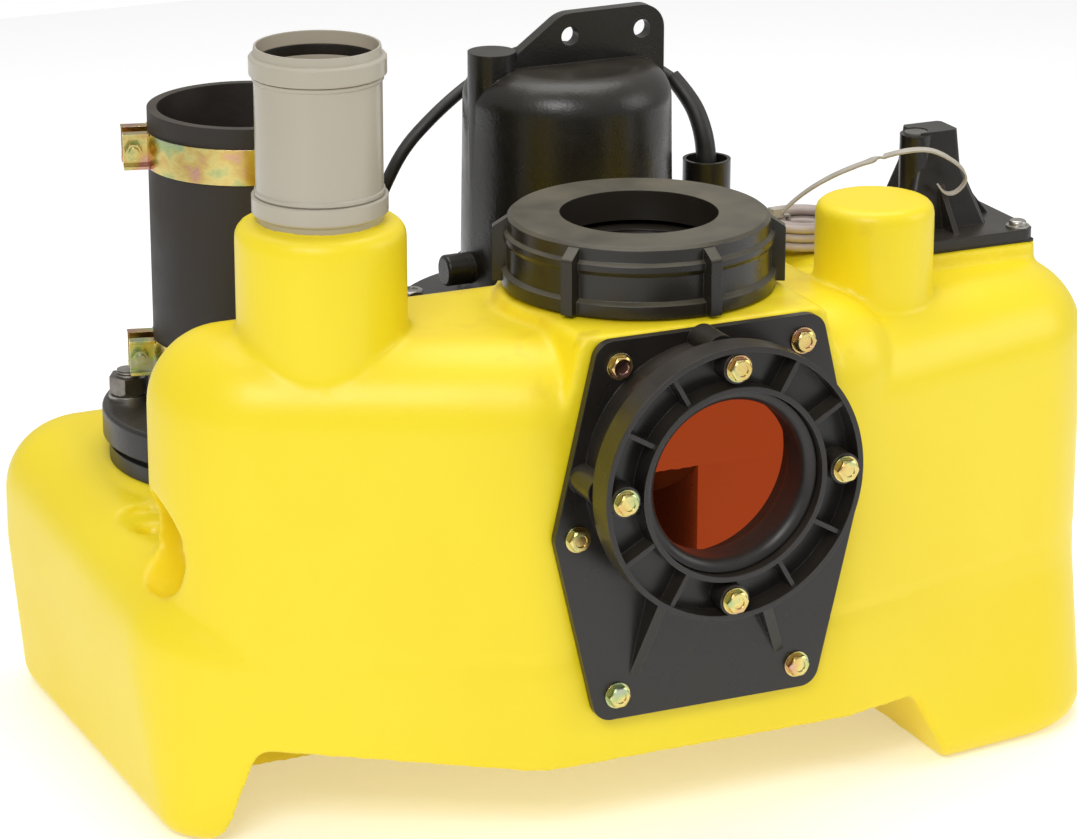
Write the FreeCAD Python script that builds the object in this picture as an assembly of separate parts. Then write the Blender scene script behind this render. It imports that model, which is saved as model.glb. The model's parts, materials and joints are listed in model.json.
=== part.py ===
import FreeCAD, Part
import math
import os

# Floor-standing sewage lifting station: a moulded yellow tank with a pump on its back.
# Millimetres. X runs to the right along the front, Y to the back, Z up from the floor.
# The origin lies on the floor under the middle of the station.

Vector = FreeCAD.Vector
X_AXIS = Vector(1, 0, 0)
Y_AXIS = Vector(0, 1, 0)
Z_AXIS = Vector(0, 0, 1)

# Tank body
TANK_LEFT_X = -347.0
TANK_RIGHT_X = 328.0
TANK_BACK_Y = 262.0
FRONT_FACE_Y = -193.0
WALL = 6.0
PANEL_LEFT_X = -122.0
PANEL_RIGHT_X = 97.0
PANEL_LEFT_ANGLE = 25.0
PANEL_RIGHT_ANGLE = 16.0
PANEL_CREASE_R = 66.0
TALL_TOP_Z = 328.0
TALL_LEFT_INSET = 20.0
TALL_FOOT_Z = 130.0
TALL_BACK_Y = 8.0
TALL_RIGHT_X = 147.0
SHOULDER_R = 50.0
LOBE_TOP_Z = 313.0
LOBE_LEFT_X = 20.0
LOBE_INNER_X = 170.0
LOBE_BACK_Y = 70.0
LOBE_INNER_R = 9.0
BACK_SHOULDER_R = 24.0
BACK_SHOULDER_CORNER_R = 28.0
BACK_SHOULDER_FRONT_Y = -60.0
BACK_SHOULDER_LEFT_X = 140.0
BACK_SHOULDER_RIGHT_X = 270.0
DECK_Z = 191.0
DECK_FALL = 5.0
DECK_SHOULDER_R = 46.0
PARTING_Z = 110.0
DRAFT_IN = 10.0
DRAFT_LEFT = 9.0
FOOT_RIGHT_ANGLE = 4.5
FOOT_LEFT_R = 30.0
FRONT_CORNER_R = 80.0
TALL_CORNER_R = 52.0
DECK_CORNER_R = 60.0
FOOT_CORNER_R = 52.0
FLOOR_EDGE_R = 18.0

# Arch under the front of the tank, between its two front feet
ARCH_Z = 52.0
ARCH_LEFT_Z = 66.0
ARCH_RIGHT_Z = 54.0
ARCH_BOW_R = 300.0
ARCH_LEFT_X = -286.0
ARCH_RIGHT_X = 152.0
ARCH_LEFT_SLOPE = 0.34
ARCH_RIGHT_SLOPE = 0.54
ARCH_DEPTH = 200.0
ARCH_CORNER_R = 9.0

# Grip recess in the left end, and the two anchor holes
GRIP_Y = -43.0
GRIP_Z = 188.0
GRIP_R = 34.0
GRIP_START_X = TANK_LEFT_X + TALL_LEFT_INSET - 2.0
GRIP_END_X = -290.0
ANCHOR_LEFT_X = -302.0
ANCHOR_RIGHT_X = 285.0
ANCHOR_LEFT_Y = 34.0
ANCHOR_RIGHT_Y = 205.0
ANCHOR_RECESS_R = 28.0
ANCHOR_RECESS_Z = 171.0
ANCHOR_SINK_R = 12.0
ANCHOR_SINK_DEPTH = 7.0
ANCHOR_HOLE_R = 6.5

# Inlet plate, reversible for two inlet heights
INLET_Z = 250.0
PLATE_X = -12.0
PLATE_Z = 211.0
PLATE_HALF_W = 107.5
PLATE_HALF_H = 126.0
PLATE_CORNER_X = 78.0
PLATE_CORNER_R = 13.0
PLATE_T = 6.0
PLATE_GASKET_T = 2.0
PLATE_SCREW_X = 64.0
PLATE_SCREW_Z = 109.5
PLATE_SIDE_SCREW_X = 92.0
INLET_OFFSET_X = -7.0
TANK_PORT_HALF_W = 66.0
TANK_PORT_HALF_H = 96.0
PAD_MARGIN = 8.0
PAD_TOP_MARGIN = 1.0
PAD_BASE_Z = 250.0
SOCKET_R = 80.0
SOCKET_BORE_R = 62.0
SOCKET_LENGTH = 27.0
PLATE_RIB_T = 7.0
PLATE_RIB_X = 30.0

# Inlet clamp ring and its lip seal for a 110 mm pipe
RING_R = 89.0
RING_BORE_R = 60.0
RING_DEPTH = 20.0
RING_WALL = 3.5
RING_BASE_T = 5.0
RING_BOSS_R = 10.0
RING_BOLT_IN = 13.0
RING_BOLT_R = RING_R - RING_BOLT_IN
RING_RIB_T = 3.0
LIP_R = 51.5
LIP_GAP = 0.8
LIP_BORE_H = 12.0
LIP_ROUND_R = 7.6
LIP_FLANGE_T = 3.0

# M8 screws of the inlet
M8_R = 4.0
M8_HEX = 13.0
M8_HEAD_H = 4.6
M8_FLANGE_R = 8.6
M8_FLANGE_T = 1.4
HEAD_DISH = 0.9
M8_HOLE_R = 4.4
M8_REACH = 14.0
INSERT_R = 7.0
INSERT_LENGTH = 16.0
INSERT_BOSS_R = 11.0

# Screw ring and closing disc of the cleaning opening
COVER_X = -12.0
COVER_Y = -96.0
COVER_TOP_Z = 385.0
COVER_R = 86.0
COVER_HEIGHT = 45.0
COVER_HOLE_R = 51.0
COVER_WALL = 6.4
COVER_TOP_T = 6.0
COVER_COLLAR_T = 4.0
COVER_COLLAR_H = 20.0
COVER_RIBS = 6
COVER_RIB_OUT = 8.0
COVER_RIB_T = 8.0
COVER_RIB_TURN = 35.4
COVER_LEDGE = 2.5
COVER_LEDGE_H = 8.0
COVER_BAND_DROP = 16.0
COVER_BAND_H = 4.0
THREAD_GAP = 0.6
NECK_R = COVER_R - COVER_WALL - THREAD_GAP
NECK_WALL = 17.0
NECK_BORE_R = NECK_R - NECK_WALL
NECK_TOP_Z = 352.0
NECK_SKIRT_R = COVER_R + 8.0
NECK_SKIRT_Z = 336.0
COVER_SEAL_T = 3.0
COVER_DISC_T = 6.0
COVER_DISC_GAP = 0.3

# Vent connection
VENT_X = -223.0
VENT_Y = -76.0
VENT_BOSS_R = 54.0
VENT_BOSS_Z = 399.0
VENT_SPIGOT_R = 37.4
VENT_SPIGOT_WALL = 3.6
VENT_SPIGOT_H = 50.0
COUPLING_BORE_R = 38.0
COUPLING_R = 39.9
COUPLING_H = 112.0
COUPLING_RIM_H = 6.0
COUPLING_BEAD_R = 42.8
COUPLING_BEAD_H = 12.0
COUPLING_LEDGE_OUT = 1.0
COUPLING_LEDGE_H = 3.0
COUPLING_LINE = 0.8
COUPLING_GROOVE_R = 41.2
COUPLING_GROOVE_H = 7.0
COUPLING_GROOVE_IN = 8.5
COUPLING_STOP_R = 36.0
COUPLING_STOP_H = 4.0
VENT_SEAL_OUT = 0.12

# Closed stub for a second connection
STUB_X = 155.0
STUB_Y = -106.0
STUB_R = 39.2
STUB_Z = 377.0
STUB_EDGE_R = 7.0
BOSS_EDGE_R = 8.0

# Pump on its round seat
PUMP_X = 44.0
PUMP_Y = 134.0
SEAT_R = 118.0
SEAT_Z = 236.0
SEAT_HOLE_R = 101.0
PUMP_GASKET_T = 2.0
PUMP_FLANGE_R = 122.0
PUMP_FLANGE_T = 14.0
PUMP_FLANGE_BOLT_R = 110.0
PUMP_FLANGE_BOLTS = 6
M10_R = 5.0
M10_HEX = 16.0
M10_HEAD_H = 6.4
M10_HOLE_R = 5.5
M10_REACH = 18.0
MOTOR_R = 73.0
MOTOR_WALL = 7.0
MOTOR_H = 175.0
MOTOR_SHOULDER_R = 24.0
MOTOR_FOOT_R = 82.0
MOTOR_FOOT_T = 12.0
MOTOR_BOSS_X = -57.0
MOTOR_BOSS_R = 16.5
MOTOR_BOSS_RISE = 13.0
LUG_T = 10.0
LUG_RISE = 36.0
LUG_LEFT = -40.0
LUG_RIGHT = 72.0
LUG_SLOPE = 34.0
LUG_HOLE_R = 6.5
LUG_HOLE_DROP = 17.0
LUG_HOLE_X = 0.0
LUG_HOLE_STEP = 55.0
OIL_PLUG_R = 11.0
OIL_PLUG_EDGE_R = 2.5
OIL_PLUG_SHANK_R = 6.0
OIL_PLUG_OUT = 16.0
OIL_PLUG_Z = 288.0
OIL_CHAMBER_R = 62.0
OIL_CHAMBER_WALL = 8.0
VOLUTE_TOP_Z = 128.0
VOLUTE_H = 66.0
VOLUTE_R = 94.0
VOLUTE_WALL = 7.0
SUCTION_R = 36.0
SHAFT_R = 10.0
SHAFT_TOP_Z = 404.0
BEARING_R = 26.0
BEARING_T = 15.0
BEARING_SINK = 6.0
UPPER_BEARING_Z = 388.0
STATOR_BORE_R = 37.0
STATOR_H = 62.0
ROTOR_GAP = 0.8
ROTOR_H = 60.0
STATOR_Z = 312.0
SEAL_R = 20.0
IMPELLER_R = 74.0
IMPELLER_Z = 84.0
IMPELLER_H = 30.0
IMPELLER_PLATE_T = 6.0
IMPELLER_VANES = 6
IMPELLER_SCREW_R = 13.0
RUNNING_GAP = 1.5
JOURNAL_GAP = 0.05
STOP_GAP = 0.3

# Cable gland on the pump flange
GLAND_X = 150.0
GLAND_Y = 128.0
GLAND_R = 15.5
GLAND_TOP_Z = 348.0
GLAND_SOCKET_H = 50.0
GLAND_WALL = 2.5
GLAND_CUP = 10.0
BEND_SLEEVE_R = 7.5
BEND_SLEEVE_RUNS = 5
CABLE_R = 4.5

# Discharge on the low deck
HOSE_X = -200.0
HOSE_Y = 113.0
HOSE_R = 66.0
HOSE_WALL = 6.5
HOSE_TOP_Z = 427.0
HOSE_SWELL = 0.8
HOSE_STUB_H = 55.0
DISCHARGE_SEAT_Z = 186.0
DISCHARGE_SEAT_R = 101.0
FLANGE_R = 102.0
FLANGE_T = 20.0
COLLAR_R = 98.0
COLLAR_T = 17.0
FLANGE_HUB_R = 68.0
FLANGE_HUB_H = 7.0
PIPE_R = 45.0
PIPE_WALL = 4.5
STUD_CIRCLE_R = 84.0
STUD_COUNT = 4
STUD_TURN = 65.0
M16_R = 8.0
M16_HEX = 24.0
M16_NUT_H = 13.0
M16_HOLE_R = 9.0
M16_WASHER_R = 14.0
M16_WASHER_T = 3.0
STUD_TOP_Z = 243.0
STUD_REACH = 17.0
BAND_W = 24.0
BAND_T = 1.6
BAND_UPPER_Z = 401.5
BAND_LOWER_Z = 259.0
BAND_TURN = 165.0
CLAMP_EAR_OUT = 17.0
CLAMP_EAR_T = 2.0
CLAMP_FOLD = 7.0
CLAMP_BOLT_R = 3.5
PIPE_Z = 92.0
ELBOW_BEND_R = 50.0
VALVE_R = 54.0
VALVE_WALL = 5.0
VALVE_LENGTH = 80.0
VALVE_END_T = 6.0
VALVE_MIDDLE_X = -106.0
FLAP_R = 38.0
FLAP_T = 6.0
FLAP_PIN_R = 4.0
FLAP_PIN_UP = 40.0
FLAP_EYE_R = 6.5

# Level sensor
TOWER_X = 249.0
TOWER_Y = -26.0
TOWER_BASE_W = 96.0
TOWER_BASE_D = 100.0
TOWER_BASE_T = 7.0
TOWER_GASKET_T = 2.0
TOWER_TOP_Z = 397.0
TOWER_HEAD_W = 30.0
TOWER_HEAD_D = 26.0
TOWER_HEAD_DX = -8.0
TOWER_WALL = 3.0
TOWER_RIB_T = 4.0
TOWER_SCREW_INSET = 9.0
PLATFORM_MARGIN = 3.0
PLATFORM_Z = 323.0
FLOAT_HOLE_R = 38.0
ROD_X = 228.0
ROD_Y = -30.0
ROD_R = 3.0
ROD_BOTTOM_Z = 96.0
COLUMN_R = 11.0
COLUMN_BORE_R = 7.0
COLUMN_PLUG_R = 8.0
COLUMN_PLUG_T = 2.5
FLOAT_R = 36.0
FLOAT_H = 54.0
GUIDE_R = 10.0
GUIDE_H = 12.0
MAGNET_R = 6.0
MAGNET_H = 10.0
M6_R = 3.0
M6_HEAD_R = 6.0
M6_HEAD_H = 3.6
M6_WASHER_R = 8.0
M6_WASHER_T = 1.4
M6_REACH = 12.0

# Cables that lie free: chosen points of their routes
MOTOR_CABLE = [
    (150, 128, 338.4), (150, 129, 362), (146, 139, 386), (135, 158, 403), (113, 182, 414), (80, 206, 419),
    (44, 219, 417), (16, 212, 404), (-8, 204, 394), (-32, 200, 378), (-52, 200, 359), (-66, 202, 332),
    (-77, 209, 300), (-87, 220, 266), (-95, 237, 232), (-101, 258, 198), (-106, 278, 160), (-110, 292, 122),
    (-112, 302, 84), (-112, 309, 48), (-107, 322, 20), (-94, 340, 5.5), (-72, 352, 4.6), (-46, 353, 4.6)]
MOTOR_COIL = (-40.0, 402.0)
MOTOR_COIL_MEAN_R = 49.0
MOTOR_COIL_SECTION = 27.0
PLUG_R = 20.0
PLUG_LENGTH = 56.0
SENSOR_CABLE_R = 3.0
SENSOR_CABLE = [(212.5, -12, 340), (203, -11, 340), (196, -6, 338), (191, 2, 334), (190, 12, 329)]
SENSOR_COIL = (167.0, 15.0)
SENSOR_COIL_MEAN_R = 21.0
SENSOR_COIL_W = 17.0
SENSOR_COIL_H = 19.0
TIE_W = 4.8
TIE_T = 1.3
SENSOR_COIL_Z = LOBE_TOP_Z + TIE_T + 0.5
TIE_TAIL = [
    (171, -15, 367), (195, -40, 384), (207, -52, 390), (220, -58, 391), (238, -60, 383),
    (251, -58, 366), (245, -55, 358), (233, -53, 364)]

# Further than any face of the station, for cutting tools
REACH = 700.0

MODEL = {}


def node(name, shape):
    MODEL[name] = shape


def cylinder(radius, low, high, x=0.0, y=0.0):
    return Part.makeCylinder(radius, high - low, Vector(x, y, low), Z_AXIS)


def tube(radius, bore, low, high, x=0.0, y=0.0):
    return cylinder(radius, low, high, x, y).cut(cylinder(bore, low - 1, high + 1, x, y))


def box(x0, x1, y0, y1, z0, z1):
    return Part.makeBox(x1 - x0, y1 - y0, z1 - z0, Vector(x0, y0, z0))


def hexagon(across, low, high):
    corner = across / math.sqrt(3)
    points = [Vector(corner * math.cos(math.radians(60 * i)), corner * math.sin(math.radians(60 * i)), low)
              for i in range(7)]
    return Part.Face(Part.makePolygon(points)).extrude(Vector(0, 0, high - low))


def placed(shape, origin, direction=Z_AXIS):
    """A copy of a shape that was made along +Z, stood at origin along direction."""
    copy = shape.copy()
    copy.Placement = FreeCAD.Placement(Vector(*origin), FreeCAD.Rotation(Z_AXIS, Vector(direction)))
    return copy


def fused(shapes):
    shapes = list(shapes)
    return shapes[0].multiFuse(shapes[1:]).removeSplitter() if len(shapes) > 1 else shapes[0]


def group(shapes):
    return Part.makeCompound(list(shapes))


def ring_points(radius, count, turn=0.0):
    return [(radius * math.cos(math.radians(turn + 360.0 * i / count)),
             radius * math.sin(math.radians(turn + 360.0 * i / count))) for i in range(count)]


def edges_where(shape, test):
    return [edge for edge in shape.Edges if test(edge)]


def edges_at_height(shape, height):
    return edges_where(shape, lambda edge: abs(edge.BoundBox.ZMin - height) < 0.01
                       and abs(edge.BoundBox.ZMax - height) < 0.01)


def corner_turns(corners):
    """For each corner of an outline: the heading before it and the turn that it makes."""
    count = len(corners)
    result = []
    for index in range(count):
        x0, y0 = corners[index - 1][:2]
        x1, y1 = corners[index][:2]
        x2, y2 = corners[(index + 1) % count][:2]
        before = math.atan2(y1 - y0, x1 - x0)
        turn = math.atan2(y2 - y1, x2 - x1) - before
        result.append((before, (turn + math.pi) % (2 * math.pi) - math.pi))
    return result


def moved_in(corners, inset):
    """The same outline, drawn anticlockwise, moved inwards by inset with its round corners kept parallel."""
    moved = []
    for (x, y, radius), (before, turn) in zip(corners, corner_turns(corners)):
        middle = before + turn / 2
        reach = inset / math.cos(turn / 2)
        side = 1 if turn > 0 else -1
        moved.append((x - reach * math.sin(middle), y + reach * math.cos(middle), max(radius - side * inset, 1.0)))
    return moved


def outline_wire(corners, height):
    """A closed wire of straight sides and tangent corner arcs, from (x, y, radius) corners."""
    stations = []
    for (x, y, radius), (before, turn) in zip(corners, corner_turns(corners)):
        length = radius * math.tan(abs(turn) / 2)
        after = before + turn
        start = Vector(x - length * math.cos(before), y - length * math.sin(before), height)
        end = Vector(x + length * math.cos(after), y + length * math.sin(after), height)
        out = radius / math.cos(turn / 2) - radius
        toward = before + turn / 2 + (math.pi / 2 if turn > 0 else -math.pi / 2)
        middle = Vector(x + out * math.cos(toward), y + out * math.sin(toward), height)
        stations.append((start, middle, end))
    edges = []
    for index, (start, middle, end) in enumerate(stations):
        previous_end = stations[index - 1][2]
        edges.append(Part.LineSegment(previous_end, start).toShape())
        edges.append(Part.Arc(start, middle, end).toShape())
    return Part.Wire(edges)


def prism(corners, low, high):
    return Part.Face(outline_wire(corners, low)).extrude(Vector(0, 0, high - low))


def front_prism(corners, near, far):
    """A prism along +Y from an outline given in X and Z."""
    solid = prism([(x, -z, r) for x, z, r in reversed(corners)], 0.0, far - near)
    solid.rotate(Vector(0, 0, 0), X_AXIS, -90)
    solid.translate(Vector(0, near, 0))
    return solid


def panel_y(x):
    """Where the swept-back front panels stand at x."""
    left = max(PANEL_LEFT_X - x, 0.0) * math.tan(math.radians(PANEL_LEFT_ANGLE))
    right = max(x - PANEL_RIGHT_X, 0.0) * math.tan(math.radians(PANEL_RIGHT_ANGLE))
    return FRONT_FACE_Y + left + right


def plate_corners(margin=0.0, corner_r=PLATE_CORNER_R):
    """The six-cornered outline of the inlet plate in X and Z, about its own middle."""
    corners = [(-PLATE_CORNER_X, -PLATE_HALF_H), (PLATE_CORNER_X, -PLATE_HALF_H), (PLATE_HALF_W, 0.0),
               (PLATE_CORNER_X, PLATE_HALF_H), (-PLATE_CORNER_X, PLATE_HALF_H), (-PLATE_HALF_W, 0.0)]
    placed_corners = [(PLATE_X + x, PLATE_Z + z, corner_r) for x, z in corners]
    return moved_in(placed_corners, -margin)


def waist_outline():
    """The base at its parting line, its widest place."""
    return [(PANEL_LEFT_X, FRONT_FACE_Y, PANEL_CREASE_R), (PANEL_RIGHT_X, FRONT_FACE_Y, PANEL_CREASE_R),
            (TANK_RIGHT_X, panel_y(TANK_RIGHT_X), FRONT_CORNER_R), (TANK_RIGHT_X, TANK_BACK_Y, DECK_CORNER_R),
            (TANK_LEFT_X, TANK_BACK_Y, DECK_CORNER_R), (TANK_LEFT_X, panel_y(TANK_LEFT_X), FRONT_CORNER_R)]


def foot_outline():
    """The base at the floor: drafted, with a fuller right front foot and a tighter left one."""
    left = TANK_LEFT_X + DRAFT_LEFT
    right = TANK_RIGHT_X - DRAFT_IN
    back = TANK_BACK_Y - DRAFT_IN
    right_front_y = FRONT_FACE_Y + (right - PANEL_RIGHT_X) * math.tan(math.radians(FOOT_RIGHT_ANGLE))
    return [(PANEL_LEFT_X, FRONT_FACE_Y, PANEL_CREASE_R), (PANEL_RIGHT_X, FRONT_FACE_Y, PANEL_CREASE_R),
            (right, right_front_y, FRONT_CORNER_R), (right, back, FOOT_CORNER_R), (left, back, FOOT_CORNER_R),
            (left, panel_y(left), FOOT_LEFT_R)]


def deck_z(y):
    """Height of the deck at y: it falls a little towards the front."""
    return DECK_Z - (TANK_BACK_Y - DECK_SHOULDER_R - y) * math.tan(math.radians(DECK_FALL))


def base_form(inset):
    """The low part that stands on the floor: drafted below the parting line, round at its deck."""
    low = inset
    foot = outline_wire(moved_in(foot_outline(), inset), low)
    waist = outline_wire(moved_in(waist_outline(), inset), PARTING_Z)
    lower = Part.makeLoft([foot, waist], True, True)
    lower = lower.makeFillet(max(FLOOR_EDGE_R - inset, 2.0), edges_at_height(lower, low))
    upper = prism(moved_in(waist_outline(), inset), PARTING_Z, DECK_Z + 10)
    above = box(-REACH, REACH, -REACH, REACH, DECK_Z - inset, DECK_Z + 100)
    above.rotate(Vector(0, TANK_BACK_Y - DECK_SHOULDER_R, DECK_Z - inset), X_AXIS, DECK_FALL)
    upper = upper.cut(above)
    rim = edges_where(upper, lambda edge: edge.BoundBox.ZMin > deck_z(FRONT_FACE_Y) - inset - 5)
    upper = upper.makeFillet(DECK_SHOULDER_R - inset, rim)
    return [lower, upper]


def tall_forms(inset):
    """The tall front part: a higher left and middle block and a lower right block that reaches further back."""
    left = TANK_LEFT_X + TALL_LEFT_INSET
    right = TANK_RIGHT_X
    main = [(PANEL_LEFT_X, FRONT_FACE_Y, PANEL_CREASE_R), (PANEL_RIGHT_X, FRONT_FACE_Y, PANEL_CREASE_R),
            (TALL_RIGHT_X, panel_y(TALL_RIGHT_X), TALL_CORNER_R), (TALL_RIGHT_X, TALL_BACK_Y, TALL_CORNER_R),
            (left, TALL_BACK_Y, TALL_CORNER_R), (left, panel_y(left), FRONT_CORNER_R)]
    lobe = [(LOBE_LEFT_X, FRONT_FACE_Y, TALL_CORNER_R), (PANEL_RIGHT_X, FRONT_FACE_Y, PANEL_CREASE_R),
            (right, panel_y(right), FRONT_CORNER_R), (right, LOBE_BACK_Y, TALL_CORNER_R),
            (LOBE_INNER_X, LOBE_BACK_Y, TALL_CORNER_R), (LOBE_INNER_X, TALL_BACK_Y, LOBE_INNER_R),
            (LOBE_LEFT_X, TALL_BACK_Y, TALL_CORNER_R)]
    back_shoulder = [(BACK_SHOULDER_LEFT_X, BACK_SHOULDER_FRONT_Y, BACK_SHOULDER_CORNER_R),
                     (BACK_SHOULDER_RIGHT_X, BACK_SHOULDER_FRONT_Y, BACK_SHOULDER_CORNER_R),
                     (BACK_SHOULDER_RIGHT_X, LOBE_BACK_Y - 0.5, TALL_CORNER_R),
                     (BACK_SHOULDER_LEFT_X, LOBE_BACK_Y - 0.5, TALL_CORNER_R)]
    forms = []
    for corners, top, shoulder_r in ((main, TALL_TOP_Z, SHOULDER_R), (lobe, LOBE_TOP_Z, SHOULDER_R),
                                     (back_shoulder, LOBE_TOP_Z, BACK_SHOULDER_R)):
        block = prism(moved_in(corners, inset), TALL_FOOT_Z, top - inset)
        forms.append(block.makeFillet(shoulder_r - inset, edges_at_height(block, top - inset)))
    return forms


def pad_form(inset):
    """The flat front pad that backs the inlet plate up to its top edge."""
    top = PLATE_Z + PLATE_HALF_H + PAD_TOP_MARGIN
    corners = plate_corners(PAD_MARGIN)
    pad = front_prism(moved_in(corners, inset), FRONT_FACE_Y + inset, COVER_Y - inset)
    keep = box(-REACH, REACH, -REACH, REACH, PAD_BASE_Z, top - inset)
    return pad.common(keep)


def rounded_post(radius, low, high, edge_r, x, y):
    post = cylinder(radius, low, high, x, y)
    return post.makeFillet(edge_r, edges_at_height(post, high))


def tower_platform(inset):
    half_w = TOWER_BASE_W / 2 + PLATFORM_MARGIN - inset
    half_d = TOWER_BASE_D / 2 + PLATFORM_MARGIN - inset
    corners = [(TOWER_X - half_w, TOWER_Y - half_d, 12.0), (TOWER_X + half_w, TOWER_Y - half_d, 12.0),
               (TOWER_X + half_w, TOWER_Y + half_d, 12.0), (TOWER_X - half_w, TOWER_Y + half_d, 12.0)]
    return prism(corners, LOBE_TOP_Z - SHOULDER_R, PLATFORM_Z - inset)


def arch_tool(grow):
    """The space under the front of the tank, between the feet."""
    below = -40.0
    left_run = (ARCH_LEFT_Z - below) * ARCH_LEFT_SLOPE
    right_run = (ARCH_RIGHT_Z - below) * ARCH_RIGHT_SLOPE
    corners = [(ARCH_LEFT_X - left_run, below, 1.0), (ARCH_RIGHT_X + right_run, below, 1.0),
               (ARCH_RIGHT_X, ARCH_RIGHT_Z, ARCH_CORNER_R), (PANEL_RIGHT_X, ARCH_Z, ARCH_BOW_R),
               (PANEL_LEFT_X, ARCH_Z, ARCH_BOW_R), (ARCH_LEFT_X, ARCH_LEFT_Z, ARCH_CORNER_R)]
    return front_prism(moved_in(corners, -grow), FRONT_FACE_Y - 60, FRONT_FACE_Y + ARCH_DEPTH + grow)


def grip_tool(grow):
    start = GRIP_START_X - grow
    tool = Part.makeCylinder(GRIP_R + grow, GRIP_END_X + grow - start, Vector(start, GRIP_Y, GRIP_Z), X_AXIS)
    end = edges_where(tool, lambda edge: edge.BoundBox.XMin > GRIP_END_X + grow - 0.1)
    return tool.makeFillet(GRIP_R / 3, end)


def discharge_pocket(grow):
    """Flat round seat for the discharge, let into the falling deck."""
    return cylinder(DISCHARGE_SEAT_R + grow, DISCHARGE_SEAT_Z - grow, DECK_Z + 60, HOSE_X, HOSE_Y)


def anchor_places():
    return [(ANCHOR_LEFT_X, ANCHOR_LEFT_Y), (ANCHOR_RIGHT_X, ANCHOR_RIGHT_Y)]


def anchor_tool(grow, x, y):
    recess = cylinder(ANCHOR_RECESS_R + grow, ANCHOR_RECESS_Z - grow, DECK_Z + 60, x, y)
    sink = Part.makeCone(ANCHOR_HOLE_R + grow, ANCHOR_SINK_R + grow, ANCHOR_SINK_DEPTH,
                         Vector(x, y, ANCHOR_RECESS_Z - ANCHOR_SINK_DEPTH - grow), Z_AXIS)
    hole = cylinder(ANCHOR_HOLE_R + grow, -5, ANCHOR_RECESS_Z, x, y)
    return fused([recess, sink, hole])


def plate_screw_places():
    places = [(PLATE_X + i * PLATE_SCREW_X, PLATE_Z + k * PLATE_SCREW_Z) for i in (-1, 1) for k in (-1, 1)]
    return places + [(PLATE_X + i * PLATE_SIDE_SCREW_X, PLATE_Z) for i in (-1, 1)]


def seat_screw_places():
    turn = 180.0 / PUMP_FLANGE_BOLTS
    return [(PUMP_X + dx, PUMP_Y + dy) for dx, dy in ring_points(PUMP_FLANGE_BOLT_R, PUMP_FLANGE_BOLTS, turn)]


def tower_screw_places():
    half_w = TOWER_BASE_W / 2 - TOWER_SCREW_INSET
    half_d = TOWER_BASE_D / 2 - TOWER_SCREW_INSET
    return [(TOWER_X + i * half_w, TOWER_Y + k * half_d) for i in (-1, 1) for k in (-1, 1)]


def stud_places():
    return [(HOSE_X + dx, HOSE_Y + dy) for dx, dy in ring_points(STUD_CIRCLE_R, STUD_COUNT, STUD_TURN)]


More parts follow.
